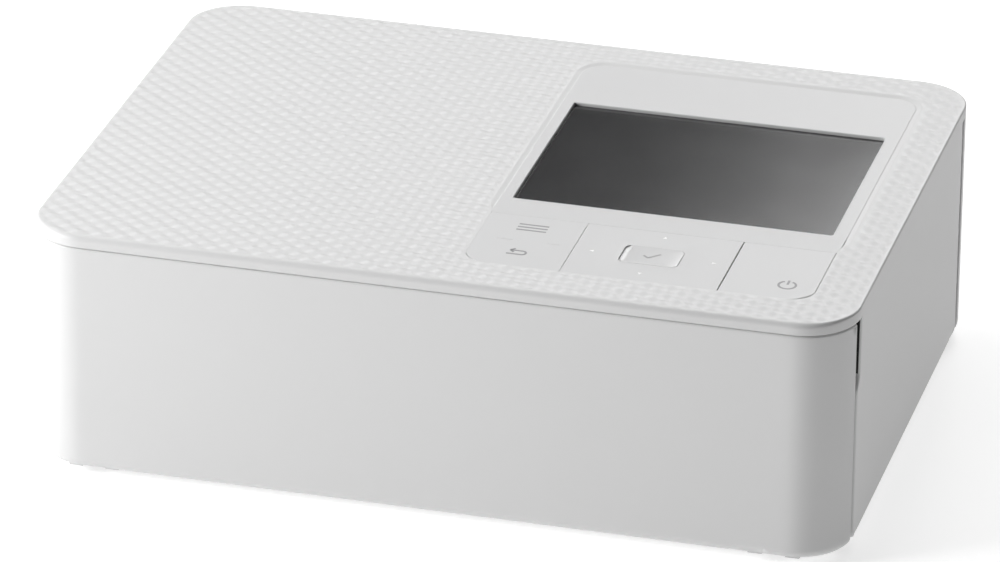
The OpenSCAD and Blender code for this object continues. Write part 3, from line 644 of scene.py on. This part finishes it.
def side_place(sign, rear_edge):
    """Lays a plate against one side (sign 1 is the right one), with its rear edge curled in."""
    def place(v):
        s, t, depth = v.T
        inset, height = up_the_profile(t, depth, SIDE_FLANGE)
        k = np.clip((s - (rear_edge - REAR_CURL)) / REAR_CURL, 0, 1)
        curl = REAR_CURL * (1 - np.sqrt(np.maximum(1 - k * k, 0))) * np.clip(1 - depth / WALL, 0, 1)
        return np.column_stack((sign * (HALF_W - inset - curl), s, height))
    return place


SIDE_TOP = profile_length(DOOR_Z, SIDE_FLANGE)
SIDE_ROWS = graded((0.6, 7.2, 0.6), (9, 56, 4.0))


def side_outline(y0, y1, front):
    """A foot with cut corners that clear the wings beside it, a rounded rear, and its own front."""
    foot = [(y0 + 2.0, 0.0), (y1 - 8.0, 0.0), (y1 - 8.0, 2.6), (y1 - 1.2, 4.6), (y1 - 0.3, 5.6)]
    rear = arc(y1 - 0.8, SIDE_TOP - 0.8, 0.8, 0, 90, 4)
    toe = [(y0, 6.6), (y0 + 0.4, 5.2), (y0 + 2.0, 4.0)]
    return split_long(np.vstack((foot, [(y1, 6.8)], rear, front, toe)), reach=2.0)


def scooped_front(y0):
    notch = profile_length(NOTCH_Z, SIDE_FLANGE)
    corner = arc(y0 + NOTCH_TOP + 0.3, SIDE_TOP - 0.3, 0.3, 90, 180, 3)
    scoop = [(y0 + NOTCH_FOOT * (1 - t * t) ** 1.5, notch - 4.0 * t) for t in np.linspace(0, 1, 9)]
    return np.vstack((corner, scoop, [(y0, notch - 5.2)]))


def tight_where(test, tight):
    """The shares of an edge that is nearly sharp where the test holds, so its seam hardly shows."""
    def shares(points):
        share = np.where(test(*points.T), tight, 1.0)
        return share, share
    return shares


tight_top = tight_where(lambda s, t: t > SIDE_TOP - 0.7, 0.04)


def side_door():
    y0, y1 = door_low[1], door_high[1]
    gx = graded((-55, 49, 5.0), (50.5, 53, 0.5))
    return plate("door_shell", side_outline(y0, y1, scooped_front(y0)), edge_profile(0.5, WALL),
                 side_place(1, y1), grid_x=gx, grid_y=SIDE_ROWS, back_pitch=2.5,
                 soften=tight_top)


dress(side_door(), "side_door", *CASING, ["side_door"])

# %% [markdown]
# The left panel has the same outline without the scoop, and openings for a memory card and a
# plug. Its outline is mirrored before it is filled, and mirrored back as its points are placed.

# %% Left panel
PORT_CARD = (-40.0, -13.0, 47.5, 50.6, 1.0)
PORT_USB = (2.0, 11.0, 47.4, 50.6, 1.5)


def left_shell():
    y0, y1 = left_low[1], left_high[1]
    plain_front = arc(y0 + 0.9, SIDE_TOP - 0.9, 0.9, 90, 180, 4)
    outline = (side_outline(y0, y1, plain_front) * (-1, 1))[::-1]
    holes = []
    for ya, yb, za, zb, r in (PORT_CARD, PORT_USB):
        ta, tb = profile_length(za, SIDE_FLANGE), profile_length(zb, SIDE_FLANGE)
        port = rounded(-yb, -ya, ta, tb, r, steps=5, reach=2.0)
        holes.append((port, edge_profile(0.35, WALL, 0.1)))

    def place(v):
        return side_place(-1, y1)(v * (-1, 1, 1))

    gx = graded((-52.5, -50, 0.5), (-49, 55, 5.0))
    return plate("left_shell", outline, edge_profile(0.5, WALL), place, holes,
                 grid_x=gx, grid_y=SIDE_ROWS, back_pitch=2.5, soften=tight_top)


dress(left_shell(), "case", *CASING, ["left_panel"])

# %% [markdown]
# The rear panel wraps round both rear corners. Its holes are the wide paper slot, the power
# opening and two rows of upright air slots, each with a small rounded edge.

# %% Rear panel
REAR_FLANGE = 2.7
REAR_Y = rear_low[1] - 0.25
REAR_REACH = HALF_W - CORNER_R + QUARTER + (HALF_D - CORNER_R - REAR_Y)
PAPER_SLOT = (-42.0, 66.0, 14.5, 24.5)
POWER_HOLE = (-67.8, -56.2, 31.7, 40.3)
VENT_X0, VENT_STEP, VENT_COUNT = -48.0, 10.0, 12
VENT_W, VENT_H, VENT_FEET = 2.4, 7.0, (32.0, 42.0)
REAR_TOP = profile_length(DOOR_Z, REAR_FLANGE)


def rear_place(v):
    s, t, depth = v.T
    inset, height = up_the_profile(t, depth, REAR_FLANGE)
    x, y = round_the_front(s, inset, sign=1)
    return np.column_stack((-x, y, height))


def rear_shell():
    outline = wing_outline(REAR_REACH, REAR_FLANGE, REAR_TOP, low_r=0.8, high_r=0.8)

    def window(x0, x1, z0, z1, r):
        t0, t1 = profile_length(z0, REAR_FLANGE), profile_length(z1, REAR_FLANGE)
        return rounded(-x1, -x0, t0, t1, r, steps=4, reach=3.0), edge_profile(0.3, WALL, 0.1, 3)

    holes = [window(*PAPER_SLOT, 1.0), window(*POWER_HOLE, 0.8)]
    for z in VENT_FEET:
        holes += [window(x, x + VENT_W, z, z + VENT_H, 1.1)
                  for x in VENT_X0 + VENT_STEP * np.arange(VENT_COUNT)]
    gx = graded((-REAR_REACH, -76, 1.2), (-75, 75, 5.0), (76, REAR_REACH, 1.2))
    gy = graded((0.5, 5.0, 0.6), (7, REAR_TOP, 4.0))
    at_seam = tight_where(lambda s, t: (np.abs(s) > REAR_REACH - 0.7) | (t > REAR_TOP - 0.7), 0.15)
    return plate("rear_shell", outline, edge_profile(0.5, WALL, 1.1, 6), rear_place, holes,
                 grid_x=gx, grid_y=gy, back_pitch=2.5, soften=at_seam)


dress(rear_shell(), "case", *CASING, ["rear_panel"])

# %% [markdown]
# The control panel is smooth. Its keys lie level with the textured top, and the bezel round the
# screen lies a little lower, so it rises gently to meet them. The screen sits deeper again, and
# the window's edge shows as a thin light step.

# %% Display bezel
BEZEL_Z = bezel_high[2] - 0.15
BEZEL_TUCK = 0.45
KEY_Z = TOP_Z - BUMP_H - 0.02
WINDOW = (5.97, 77.2, -20.05, 33.4)
RAMP_BACK, RAMP_FRONT = -20.4, -29.4
KEY_R = 0.3


def flat_place(top):
    def place(v):
        x, y, depth = v.T
        return np.column_stack((x, y, top - depth))
    return place


def bezel_place(v):
    """Flat round the screen, and rising to the keys' height in front of it."""
    x, y, depth = v.T
    rise = (KEY_Z - BEZEL_Z) * np.clip((RAMP_BACK - y) / (RAMP_BACK - RAMP_FRONT), 0, 1)
    return np.column_stack((x, y, BEZEL_Z + rise - depth))


def bezel():
    """Its edge is tucked under the top cover's."""
    outline = rounded(bezel_low[0] - BEZEL_TUCK, bezel_high[0] + BEZEL_TUCK, KEYS_BACK + 0.05,
                      bezel_high[1] + BEZEL_TUCK, [KEY_R, KEY_R, PANEL_R + 0.3, PANEL_R + 0.3], steps=10)
    window = rounded(*WINDOW, 0.5, steps=4)
    wall = [(0.5, 0), (0.3, 0), (0.17, 0.03), (0.06, 0.12), (0, 0.26), (0, 0.5), (0, 1.6)]
    rows = graded((KEYS_BACK + 0.5, RAMP_BACK, 0.8), (-20, 54, 6.0))
    at_keys = tight_where(lambda x, y: y < KEYS_BACK + 0.5, 0.05)
    return plate("bezel_face", outline, edge_profile(0.15, 1.9), bezel_place, [(window, wall)],
                 grid_y=rows, soften=at_keys)


dress(bezel(), "case", *KEY_PLASTIC, ["display_bezel"])

# %% [markdown]
# Three keys fill the row in front of the screen, with seams as fine as the real ones. They are
# plates like the rest, each with its own body, and the middle one has a well for the fourth key.

# %% Keys of the row
KEY_BASE = 55.5
GAP_LEFT, GAP_RIGHT = 25.4, 59.9
LEFT_SEAM, RIGHT_SEAM, RIM_GAP = 0.01, 0.09, 0.01
ROW_R = 4.9
OK_X, OK_Y, OK_W, OK_D = 42.45, -42.0, 13.9, 9.5


def key_edges(points):
    """Keys fit tightly all round. Only where two keys meet, and at the row's two round corners,
    is the edge soft enough to catch light."""
    x, y = points.T
    ends = (y > KEYS_BACK - 0.8) | (y < panel_y0 + 0.4) | (x < panel_x0 + 0.4)
    from_corner = np.minimum(np.hypot(x - panel_x0 - 1.5, y - panel_y0 - 1.5),
                             np.hypot(x - panel_x1 + 1.5, y - panel_y0 - 1.5))
    share = np.maximum(np.where(ends, 0.05, 0.5), 1.9 * (1 - eased(from_corner, 0.5, 4.0)))
    return share, share


def key_top(name, x0, x1, radii, holes=()):
    """A key of the row. Its wall leans in at the foot, so that it can rock."""
    outline = rounded(x0, x1, panel_y0 + RIM_GAP, KEYS_BACK - RIM_GAP, radii, steps=12, reach=2.0)
    bevel = [(0.5, 0), (0.28, 0), (0.25, 0.01), (0.03, 0.22), (0, 0.27), (0, 0.5), (0, 1.6),
             (0.2, KEY_Z - KEY_BASE)]
    key = plate(name + "_top", outline, bevel, flat_place(KEY_Z), holes, soften=key_edges)
    dress(key, name, *KEY_PLASTIC, [name])


def ok_outline(left, right, ends, r):
    return rounded(OK_X - OK_W / 2 + left, OK_X + OK_W / 2 - right,
                   OK_Y - OK_D / 2 + ends, OK_Y + OK_D / 2 - ends, r, steps=6)


ok_well = ok_outline(0.39, 0.33, ends=0.35, r=1.6)
well_wall = [(0.1, 0), (0.02, 0.01), (0, 0.03), (0, 1.4), (0, 1.6)]
key_top("left_key", panel_x0 + RIM_GAP, GAP_LEFT - LEFT_SEAM, [ROW_R, KEY_R, KEY_R, KEY_R])
key_top("cross_key", GAP_LEFT + LEFT_SEAM, GAP_RIGHT - RIGHT_SEAM, KEY_R, [(ok_well, well_wall)])
key_top("right_key", GAP_RIGHT + RIGHT_SEAM, panel_x1 - RIGHT_SEAM, [KEY_R, ROW_R, KEY_R, KEY_R])

# %% [markdown]
# The middle key lies in a well of the cross key. Its face is glossier than its neighbours, and
# slopes down at its left end, where it catches the light. Its other edges are tight.

# %% The middle key
OK_TOP = KEY_Z + 0.03
OK_SLOPE_FROM, OK_SLOPE_TO = OK_W / 2 - 1.7, OK_W / 2 - 0.9


def ok_shares(points):
    x = points[:, 0] - OK_X
    at_left = eased(-x, OK_SLOPE_FROM, OK_SLOPE_TO)
    at_right = eased(x, OK_SLOPE_FROM, OK_SLOPE_TO)
    return 0.04 + 0.96 * at_left + 0.1 * at_right, 0.05 + 0.95 * at_left + 0.3 * at_right


def ok_top():
    slope = [(1.8, 0), (1.5, 0.01), (1.38, 0.02), (0.06, 0.31), (0.02, 0.33), (0, 0.36),
             (0, 1.8), (0, OK_TOP - KEY_BASE)]
    return plate("ok_key_top", ok_outline(0.4, 0.4, ends=0.37, r=1.55), slope, flat_place(OK_TOP),
                 soften=ok_shares, pitch=2.0)


dress(ok_top(), "ok_key", "panel_white", GLOSS, ["ok_key"])

# %% [markdown]
# The marks on the keys are plain signs, so that nothing is lettered: bars for the list, a
# turned-back arrow, a tick, four small arrows and the common sign for power. Most are ribbons
# drawn along a line, a few hundredths of a millimetre proud of their key, and so are two low
# ridges in the left key's own plastic. The arrows are small pyramids in pure white, a painted
# highlight that stands for the glints on their faces.

# %% Marks on the keys
MARK_W, MARK_SUNK, MARK_PROUD = 0.5, 0.05, 0.03


def mark_ink():
    material, places = new_material("mark_grey", roughness=0.5)
    fleck = speckle(places, per_metre=900.0)
    plug("Base Color", fleck.mixed((0.27, 0.27, 0.275), (0.33, 0.33, 0.335)))
    return material


INK = mark_ink()


def ribbon(lines, width, low, high):
    """Flat ribbons along lines of points, as one closed mesh each."""
    verts, faces = [], []
    for path in lines:
        side = width / 2 * left_of(np.gradient(path, axis=0))
        first = len(verts)
        for z in (low, high):
            for edge in (path - side, path + side):
                verts.extend((x, y, z) for x, y in edge)
        n = len(path)
        rows = [first, first + n, first + 3 * n, first + 2 * n]
        for k in range(n - 1):
            for a, b in zip(rows, rows[1:] + rows[:1]):
                faces.append((a + k, b + k, b + k + 1, a + k + 1))
        faces.append(tuple(rows))
        faces.append(tuple(row + n - 1 for row in reversed(rows)))
    return verts, faces


def mark(name, body, lines, width=MARK_W, top=KEY_Z, proud=MARK_PROUD, slot="black_plastic",
         material=INK):
    sign = mesh_piece(name, *ribbon(lines, width, top - MARK_SUNK, top + proud))
    dress(sign, body, slot, material)


def line(x0, y0, x1, y1, n=6):
    return np.column_stack((np.linspace(x0, x1, n), np.linspace(y0, y1, n)))


def shifted(x, y, *paths):
    """Paths drawn round a sign's own middle, moved to its place on the key."""
    return [path + np.array((x, y)) for path in paths]


BAR_HALF, BAR_STEP = 3.3, 1.4
bars = [line(-BAR_HALF, dy, BAR_HALF, dy) for dy in (-BAR_STEP, 0, BAR_STEP)]
mark("list_mark", "left_key", shifted(14.4, -35.1, *bars))
HOOK_R = 0.9
turn_back = np.vstack((line(-2.1, -HOOK_R, 1.1, -HOOK_R), arc(1.1, 0, HOOK_R, -80, 80, 10),
                       line(1.0, HOOK_R, -1.4, HOOK_R)))
barbs = line(-0.7, 2 * HOOK_R, -1.6, HOOK_R), line(-1.6, HOOK_R, -0.7, 0)
mark("back_mark", "left_key", shifted(14.25, -48.0, turn_back, *barbs))
tick = line(-1.7, 0, -0.5, -1.1), line(-0.6, -1.1, 1.8, 1.3)
mark("tick_mark", "ok_key", shifted(OK_X, OK_Y, *tick), top=OK_TOP, proud=MARK_PROUD / 2)
POWER_X, POWER_Y, POWER_R = 73.6, -48.1, 1.85
power = arc(0, 0, POWER_R, 118, 422, 40), line(0, 0.3, 0, 2.3)
mark("power_mark", "right_key", shifted(POWER_X, POWER_Y, *power))
RIDGE_Y = -41.7
mark("rocker_ridges", "left_key", [line(8.2, RIDGE_Y, 11.7, RIDGE_Y), line(19.3, RIDGE_Y, 22.2, RIDGE_Y)],
     width=0.6, proud=0.04, slot="panel_white", material=PANEL)
ARROWS = ((29.5, -42.7, 180), (56.1, -41.8, 0), (43.1, -32.2, 90), (42.1, -51.05, 270))
ARROW_R, ARROW_SUNK, ARROW_H = 0.8, 0.02, 0.06


def arrow_heads():
    """Low three-sided pyramids, each pointing away from the middle key."""
    verts, faces = [], []
    for x, y, turn in ARROWS:
        first = len(verts)
        for corner in (0, 130, 230):
            a = math.radians(turn + corner)
            verts.append((x + ARROW_R * math.cos(a), y + ARROW_R * math.sin(a), KEY_Z - ARROW_SUNK))
        verts.append((x, y, KEY_Z + ARROW_H))
        for face in ((0, 1, 3), (1, 2, 3), (2, 0, 3), (2, 1, 0)):
            faces.append(tuple(first + k for k in face))
    return verts, faces


# The arrow heads' pure white is painted highlight, in place of the glints on their faces.
dress(mesh_piece("cross_arrows", *arrow_heads()), "cross_key", "panel_white", ARROW_PAINTED_HIGHLIGHT)

# %% [markdown]
# Behind the finger notch sits a near-black strip. Its black is painted shade: it stands for the
# shade inside the notch, and it is what makes the notch look black.

# %% Painted shade behind the notch
SHADE_STRIP_T, SHADE_STRIP_SUNK = 0.25, 0.45


# The strip's near-black colour is painted shade for the inside of the notch, with a faint cell grain.
def notch_shade_material():
    material, places = new_material("notch_painted_shade", roughness=0.95)
    cells = places.node("ShaderNodeTexVoronoi", {"Vector": places, "Scale": 2500.0})
    plug("Base Color", cells.mixed((0.010, 0.010, 0.010), (0.022, 0.022, 0.022)))
    plug("Normal", dent(cells, 0.6, microns=100))
    return material


NOTCH_SHADE = notch_shade_material()


def notch_shade_strip():
    y0 = door_low[1]
    path = line(y0 + NOTCH_FOOT - 0.02, NOTCH_Z - 0.6, y0 + NOTCH_TOP - 0.02, DOOR_Z - 0.5, 8)
    verts, faces = ribbon([path], SHADE_STRIP_T, HALF_W - WALL - 0.3, HALF_W - SHADE_STRIP_SUNK)
    turned = [(z, y, x) for y, x, z in verts]
    return mesh_piece("notch_shade_strip", turned, [face[::-1] for face in faces])


# This black strip is painted shade, which makes the finger notch look dark.
dress(notch_shade_strip(), "side_door", "black_rubber", NOTCH_SHADE)

# %% [markdown]
# The screen is a dark window. Its glass has a very fine etch against glare, so what it mirrors
# comes out soft, like a cloud. Smudges vary the etch a little. The glass keeps its exact solid.

# %% Screen glass


def screen_glass():
    material, places = new_material("screen_glass", ior=1.66)
    smudge = speckle(places, per_metre=60.0)
    cloud = speckle(places, per_metre=25.0)
    plug("Base Color", cloud.mixed((0.018, 0.018, 0.019), (0.022, 0.022, 0.023)))
    plug("Roughness", 0.15 + 0.04 * smudge)
    return material


GLASS = screen_glass()
print("made", GLASS.name)

# %% [markdown]
# What the shells carry inside: screw posts, stiffening ribs and hinge knuckles. They show when
# a cover is open. Each is a prism, an outline pushed along one axis with a small chamfer at both
# ends, so one helper makes them all. A cube from the menu would have no chamfer and no exact place.

# %% Prisms
CHAMFER = 0.2
ACROSS, BACK, UP = (2, 0, 1), (0, 2, 1), (0, 1, 2)


def prisms(name, parts):
    """One mesh of several prisms. Each part is (outline, start, end, axis), and an axis says
    where x, y and z come from."""
    verts, faces = [], []
    for outline, start, end, axis in parts:
        n = len(outline)
        first = len(verts)
        ends = ((CHAMFER, start), (0, start + CHAMFER), (0, end - CHAMFER), (CHAMFER, end))
        for inset, along in ends:
            flat = [(a, b, along) for a, b in drawn_in(outline, inset)]
            verts.extend(tuple(p[k] for k in axis) for p in flat)
        for row in range(3):
            for k in range(n):
                m = (k + 1) % n
                low = first + row * n
                faces.append((low + k, low + m, low + n + m, low + n + k))
        faces.append(tuple(range(first, first + n)))
        faces.append(tuple(range(first + 3 * n, first + 4 * n)))
    return mesh_piece(name, verts, faces)


def disc(x, y, r, steps=24):
    return arc(x, y, r, 0, 360, steps)[:-1]


def block(x0, x1, y0, y1):
    return np.array([(x0, y0), (x1, y0), (x1, y1), (x0, y1)], float)


print("chamfer", CHAMFER, "mm on every prism")

# %% [markdown]
# The top cover hangs on three long posts that take the case screws, and four short pads carry
# the main board. A skirt just inside the walls keeps the cover from sliding.

# %% Posts, pads and skirt of the top cover
ROOF_Z = TOP_Z - ROOF_T
POST_R, POST_FOOT, PAD_R, BOARD_TOP = 2.8, 12.0, 2.6, 52.2
POSTS = ((-78, -50), (-72, 60.6), (72, 60.6))
BOARD_PADS = ((-80, -43), (-6, -43), (-80, 46), (-6, 46))
posts = [(disc(x, y, POST_R), POST_FOOT, ROOF_Z, UP) for x, y in POSTS]
pads = [(disc(x, y, PAD_R), BOARD_TOP, ROOF_Z, UP) for x, y in BOARD_PADS]
dress(prisms("cover_posts", posts + pads), "case", *CASING)

SKIRT_IN, SKIRT_T = WALL + 1.15, 1.5
SKIRT_FRONT, SKIRT_MIDDLE, DOOR_REAR = -51.8, -40, 57


def cover_skirt():
    """Round the left and the rear, open in front and beside the door."""
    body = rounded(-HALF_W, HALF_W, -HALF_D, HALF_D, CORNER_R, steps=10, reach=8.0)
    path = drawn_in(body, SKIRT_IN)
    x, y = path.T
    path = path[(y > SKIRT_FRONT) & ((x < HALF_W - 8) | (y > DOOR_REAR))]
    x, y = path.T
    turn = np.unwrap(np.arctan2(y - SKIRT_MIDDLE, x))
    return ribbon([path[np.argsort(-turn)]], SKIRT_T, BOARD_TOP, ROOF_Z + 0.1)


dress(mesh_piece("cover_skirt", *cover_skirt()), "case", *CASING)

# %% [markdown]
# The front cover has two ribs and four knuckles. The knuckles sit on both sides of the base's
# ears, round the same axis, and a pin goes through all three.

# %% Ribs and knuckles of the front cover
PIN_IN = 3.2
PIN_Y, PIN_Z = -HALF_D + PIN_IN, BODY_Z + PIN_IN
KNUCKLE_R, KNUCKLE_T, KNUCKLE_OFF = 2.1, 3.4, 4.1
RIB_T, RIB_SUNK = 1.4, 0.2
front_in = -HALF_D + 1
knuckle = np.vstack((arc(PIN_Y, PIN_Z, KNUCKLE_R, -90, 90, 12),
                     [(front_in, PIN_Z + KNUCKLE_R), (front_in, BODY_Z + 0.2), (PIN_Y, BODY_Z + 0.2)]))
parts = []
for ear in EARS:
    for middle in (ear - KNUCKLE_OFF, ear + KNUCKLE_OFF):
        parts.append((knuckle, middle - KNUCKLE_T / 2, middle + KNUCKLE_T / 2, ACROSS))
rib_y = -HALF_D + WALL - RIB_SUNK
for z in (20, 36):
    parts.append((block(rib_y, rib_y + RIB_T, z, z + RIB_T), -70, 70, ACROSS))
dress(prisms("front_cover_ribs", parts), "front_cover", *CASING)

# %% [markdown]
# The door has the same two things, turned upright: knuckles above and below each ear, and two
# ribs along its length.

# %% Ribs and knuckles of the side door
EAR_H, EAR_PLAY = 4.0, 0.4
door_in = HALF_W - 1
pin_x, pin_y = HALF_W - PIN_IN, door_high[1] - 3.0
door_knuckle = np.vstack((arc(pin_x, pin_y, KNUCKLE_R, 90, 270, 12),
                          [(door_in, pin_y - KNUCKLE_R), (door_in, pin_y + 1.5), (pin_x, pin_y + 1.5)]))
parts = []
for ear_z in (9, 46):
    for low in (ear_z - EAR_PLAY - KNUCKLE_T, ear_z + EAR_H + EAR_PLAY):
        parts.append((door_knuckle, low, low + KNUCKLE_T, UP))
rib = block(HALF_W - WALL - 1, HALF_W - WALL + RIB_SUNK, -46, 34)
parts += [(rib, z, z + RIB_T, UP) for z in (14, 50)]
dress(prisms("door_ribs", parts), "side_door", *CASING)

# %% [markdown]
# Behind the rear panel, a frame lines the paper slot so that a print can't catch on its edge. A
# small hook on the left panel goes under the main board.

# %% Slot frame and hook
SLOT_FRAME_W = 2.0


def slot_frame():
    x0, x1, z0, z1 = PAPER_SLOT
    w = SLOT_FRAME_W

    def place(v):
        x, z, depth = v.T
        return np.column_stack((x, HALF_D - WALL - w + depth, z))

    outer = rounded(x0 - w, x1 + w, z0 - w, z1 + w, 1.0, steps=4, reach=20.0)
    inner = rounded(x0, x1, z0, z1, 0.6, steps=4, reach=20.0)
    edge = edge_profile(0.3, w + 0.05, 0.1)
    return plate("slot_frame", outer, edge, place, [(inner, edge)], pitch=20, back_pitch=20)


dress(slot_frame(), "case", *CASING)
hook = [(block(-HALF_W + WALL - RIB_SUNK, -HALF_W + WALL + RIB_T, 44, 46), -8, -2, BACK)]
dress(prisms("board_hook", hook), "case", *CASING)

# %% [markdown]
# Under each key, short stems reach down to the rubber mat. The left key also rocks on a rib,
# and the right key hangs on a bar at its back edge.

# %% Key stems
STEM_Z, STEM_R, STEM_SUNK = 54.65, 1.5, 0.2
left_x, left_y = (panel_x0 + GAP_LEFT) / 2, (panel_y0 + KEYS_BACK) / 2
cross_x = (GAP_LEFT + GAP_RIGHT) / 2
STEMS = {
    "left_key": [(left_x, left_y + dy) for dy in (-7.4, 7.4)],
    "cross_key": [(cross_x + dx, OK_Y + dy) for dx, dy in ((-12, 0), (12, 0), (0, 8.4), (0, -8.4))],
    "ok_key": [(OK_X, OK_Y)],
    "right_key": [(POWER_X, -47.0)],
}
BARS = {
    "left_key": [(disc(left_y, KEY_BASE, 0.5, 12), left_x - 6, left_x + 6, ACROSS)],
    "right_key": [(disc(KEYS_BACK - 1.4, 55.3, 0.6, 12), GAP_RIGHT + 2, panel_x1 - 2.4, ACROSS)],
}
for key, spots in STEMS.items():
    stems = [(disc(x, y, STEM_R), STEM_Z, KEY_BASE + STEM_SUNK, UP) for x, y in spots]
    dress(prisms(key + "_stems", stems + BARS.get(key, [])), key, *KEY_PLASTIC)

# %% [markdown]
# The mechanism keeps its exact solids and only gets finishes. Its plastics and rubber follow one
# recipe: a coarse cloud for the colour, and fine grains for the sheen. Turned, drawn and rolled
# parts show streaks instead, which are the same noise stretched along one axis.

# %% Plastics, rubber, film and aluminium


def moulding(name, flow, grain, ior=1.5, **recipe):
    material, places = new_material(name, ior=ior)
    return textured(material, tint=speckle(places, *flow), grain=speckle(places, *grain), **recipe)


def streaked(name, stretch, detail, metallic=0.0, ior=1.5, **recipe):
    material, places = new_material(name, metallic=metallic, ior=ior)
    streaks = speckle(stretched(places, *stretch), per_metre=1.0, detail=detail)
    return textured(material, tint=streaks, grain=streaks, **recipe)


BLACK = moulding("black_moulding", flow=(50.0, 2.0), grain=(3600.0, 2.0), low=(0.012, 0.012, 0.013),
                 high=(0.024, 0.024, 0.026), smoothest=0.38, spread=0.14, dents=0.4, microns=30)
RUBBER = moulding("soft_rubber", flow=(90.0, 4.0), grain=(2600.0, 2.0), low=(0.018, 0.018, 0.018),
                  high=(0.045, 0.045, 0.044), smoothest=0.72, spread=0.2, dents=0.5, microns=50)
NATURAL = moulding("natural_moulding", flow=(70.0, 3.0), grain=(2200.0, 2.0), ior=1.48,
                   low=(0.56, 0.56, 0.50), high=(0.66, 0.66, 0.61),
                   smoothest=0.34, spread=0.1, dents=0.2, microns=30)
ALUMINIUM = streaked("extruded_aluminium", (30, 3000, 3000), 3.0, metallic=1.0,
                     low=(0.60, 0.61, 0.63), high=(0.72, 0.73, 0.75),
                     smoothest=0.3, spread=0.2, dents=0.25, microns=30)
FILM = streaked("tinted_film", (20, 160, 160), 2.0, ior=1.6,
                low=(0.22, 0.13, 0.03), high=(0.34, 0.22, 0.06),
                smoothest=0.12, spread=0.12, dents=0.4, microns=200)
print("made", ", ".join(m.name for m in (BLACK, RUBBER, NATURAL, ALUMINIUM, FILM)))

# %% [markdown]
# Three finishes mix two kinds of pattern. Zinc-plated sheet shows faint spangles under drawn
# lines, turned brass shows rings under a stain, and a circuit board shows copper tracks under its
# green lacquer. Each finish is then given to every solid that names its slot in the record.

# %% Steel, brass and circuit board


def plated_steel():
    material, places = new_material("plated_steel", metallic=1.0)
    spangle = places.node("ShaderNodeTexVoronoi", {"Vector": places, "Scale": 420.0}, out=1)
    tone = spangle.node("ShaderNodeRGBToBW", {"Color": spangle})
    drawn = speckle(stretched(places, 60, 2400, 2400), per_metre=1.0)
    return textured(material, tint=tone, low=(0.52, 0.54, 0.56), high=(0.66, 0.67, 0.69),
                    grain=drawn, smoothest=0.28, spread=0.14, dents=0.15, microns=30)


def machined_brass():
    material, places = new_material("machined_brass", metallic=1.0)
    rings = speckle(stretched(places, 4000, 200, 200), per_metre=1.0)
    stain = speckle(places, per_metre=240.0)
    return textured(material, tint=stain, low=(0.50, 0.34, 0.12), high=(0.62, 0.45, 0.18),
                    grain=rings, smoothest=0.24, spread=0.16, dents=0.2, microns=20)


def circuit_board():
    material, places = new_material("circuit_board", ior=1.55)
    black, white = (0, 0, 0, 1), (1, 1, 1, 1)
    bricks = {"Vector": places, "Scale": 160.0, "Mortar Size": 0.09,
              "Color1": black, "Color2": black, "Mortar": white}
    tracks = places.node("ShaderNodeTexBrick", bricks, out=1)
    plug("Base Color", tracks.mixed((0.012, 0.085, 0.035), (0.030, 0.150, 0.060)))
    plug("Roughness", 0.22 + 0.12 * speckle(places, per_metre=300.0))
    plug("Normal", dent(tracks, 0.25, microns=40))
    return material


FINISHES = {
    "white_shell": WHITE, "panel_white": PANEL, "screen_glass": GLASS, "black_plastic": BLACK,
    "black_rubber": RUBBER, "natural_plastic": NATURAL, "aluminium": ALUMINIUM, "film": FILM,
    "steel": plated_steel(), "brass": machined_brass(), "board": circuit_board(),
}
slots = {part["node"]: part["material_slot"] for part in frame["record"]["subparts"]}
for node, solid in frame["nodes"].items():
    solid.data.materials.clear()
    solid.data.materials.append(FINISHES[slots[node]])
print("finished", len(slots), "solids with", len(FINISHES), "finishes")

# %% [markdown]
# Lights and floor. The photograph is a product shot on white. A small soft light near the left
# shades the front from bright to grey, broad ones light the top, and a low one at the back draws
# out its bumps. The screen mirrors a card behind the printer. The floor glows a little, so that
# it comes out white.

# %% Stage
FLOOR_REACH = 4000.0
FLOOR_GLOW = 0.62


def stage():
    corners = [(x, y, 0) for x, y in block(-FLOOR_REACH, FLOOR_REACH, -FLOOR_REACH, FLOOR_REACH)]
    floor = mesh_piece("floor", corners, [(0, 1, 2, 3)])
    material, places = new_material("pale_floor", roughness=0.9, emission_color=(1, 1, 1, 1),
                                    emission_strength=FLOOR_GLOW)
    haze = speckle(places, per_metre=3.0)
    plug("Base Color", haze.mixed((0.59, 0.59, 0.59), (0.61, 0.61, 0.61)))
    floor.data.materials.append(material)


def soft_light(name, place, aim, size, power, turn=0.0):
    data = bpy.data.lights.new(name, "AREA")
    data.shape = "RECTANGLE"
    data.size, data.size_y = size
    data.energy = power
    light = in_scene(name, data)
    light.location = place
    light.rotation_mode = "QUATERNION"
    facing = (Vector(aim) - Vector(place)).to_track_quat("-Z", "Y")
    light.rotation_quaternion = facing @ Quaternion((0, 0, 1), math.radians(turn))
    print(name, "at", place, "with", power, "W")


stage()
MIDDLE = (0, 0, 0.03)
soft_light("near_left", (-0.60, -0.35, 0.35), (-0.05, 0, 0.03), (0.30, 0.30), 5.5)
soft_light("overhead", (0.0, 0.1, 1.3), MIDDLE, (1.4, 1.4), 2.2)
soft_light("top_left", (-0.7, 0.3, 0.9), MIDDLE, (0.9, 0.9), 4.5)
soft_light("high_back", (0.0, 0.9, 1.3), MIDDLE, (0.8, 0.8), 5.3)
soft_light("low_back", (0.2, 1.3, 0.3), MIDDLE, (0.6, 0.4), 1.2)
soft_light("key_glint", (-0.48, 1.14, 0.46), MIDDLE, (0.2, 0.2), 0.55)
soft_light("screen_card", (0.0, 1.3, 0.86), (-0.05, 0, 0.05), (0.45, 0.45), 6.2, -38.7)
world = bpy.data.worlds.new("studio")
bpy.context.scene.world = world
world.use_nodes = True
world.node_tree.nodes["Background"].inputs["Strength"].default_value = 0.0
bpy.context.scene.view_settings.view_transform = "Standard"
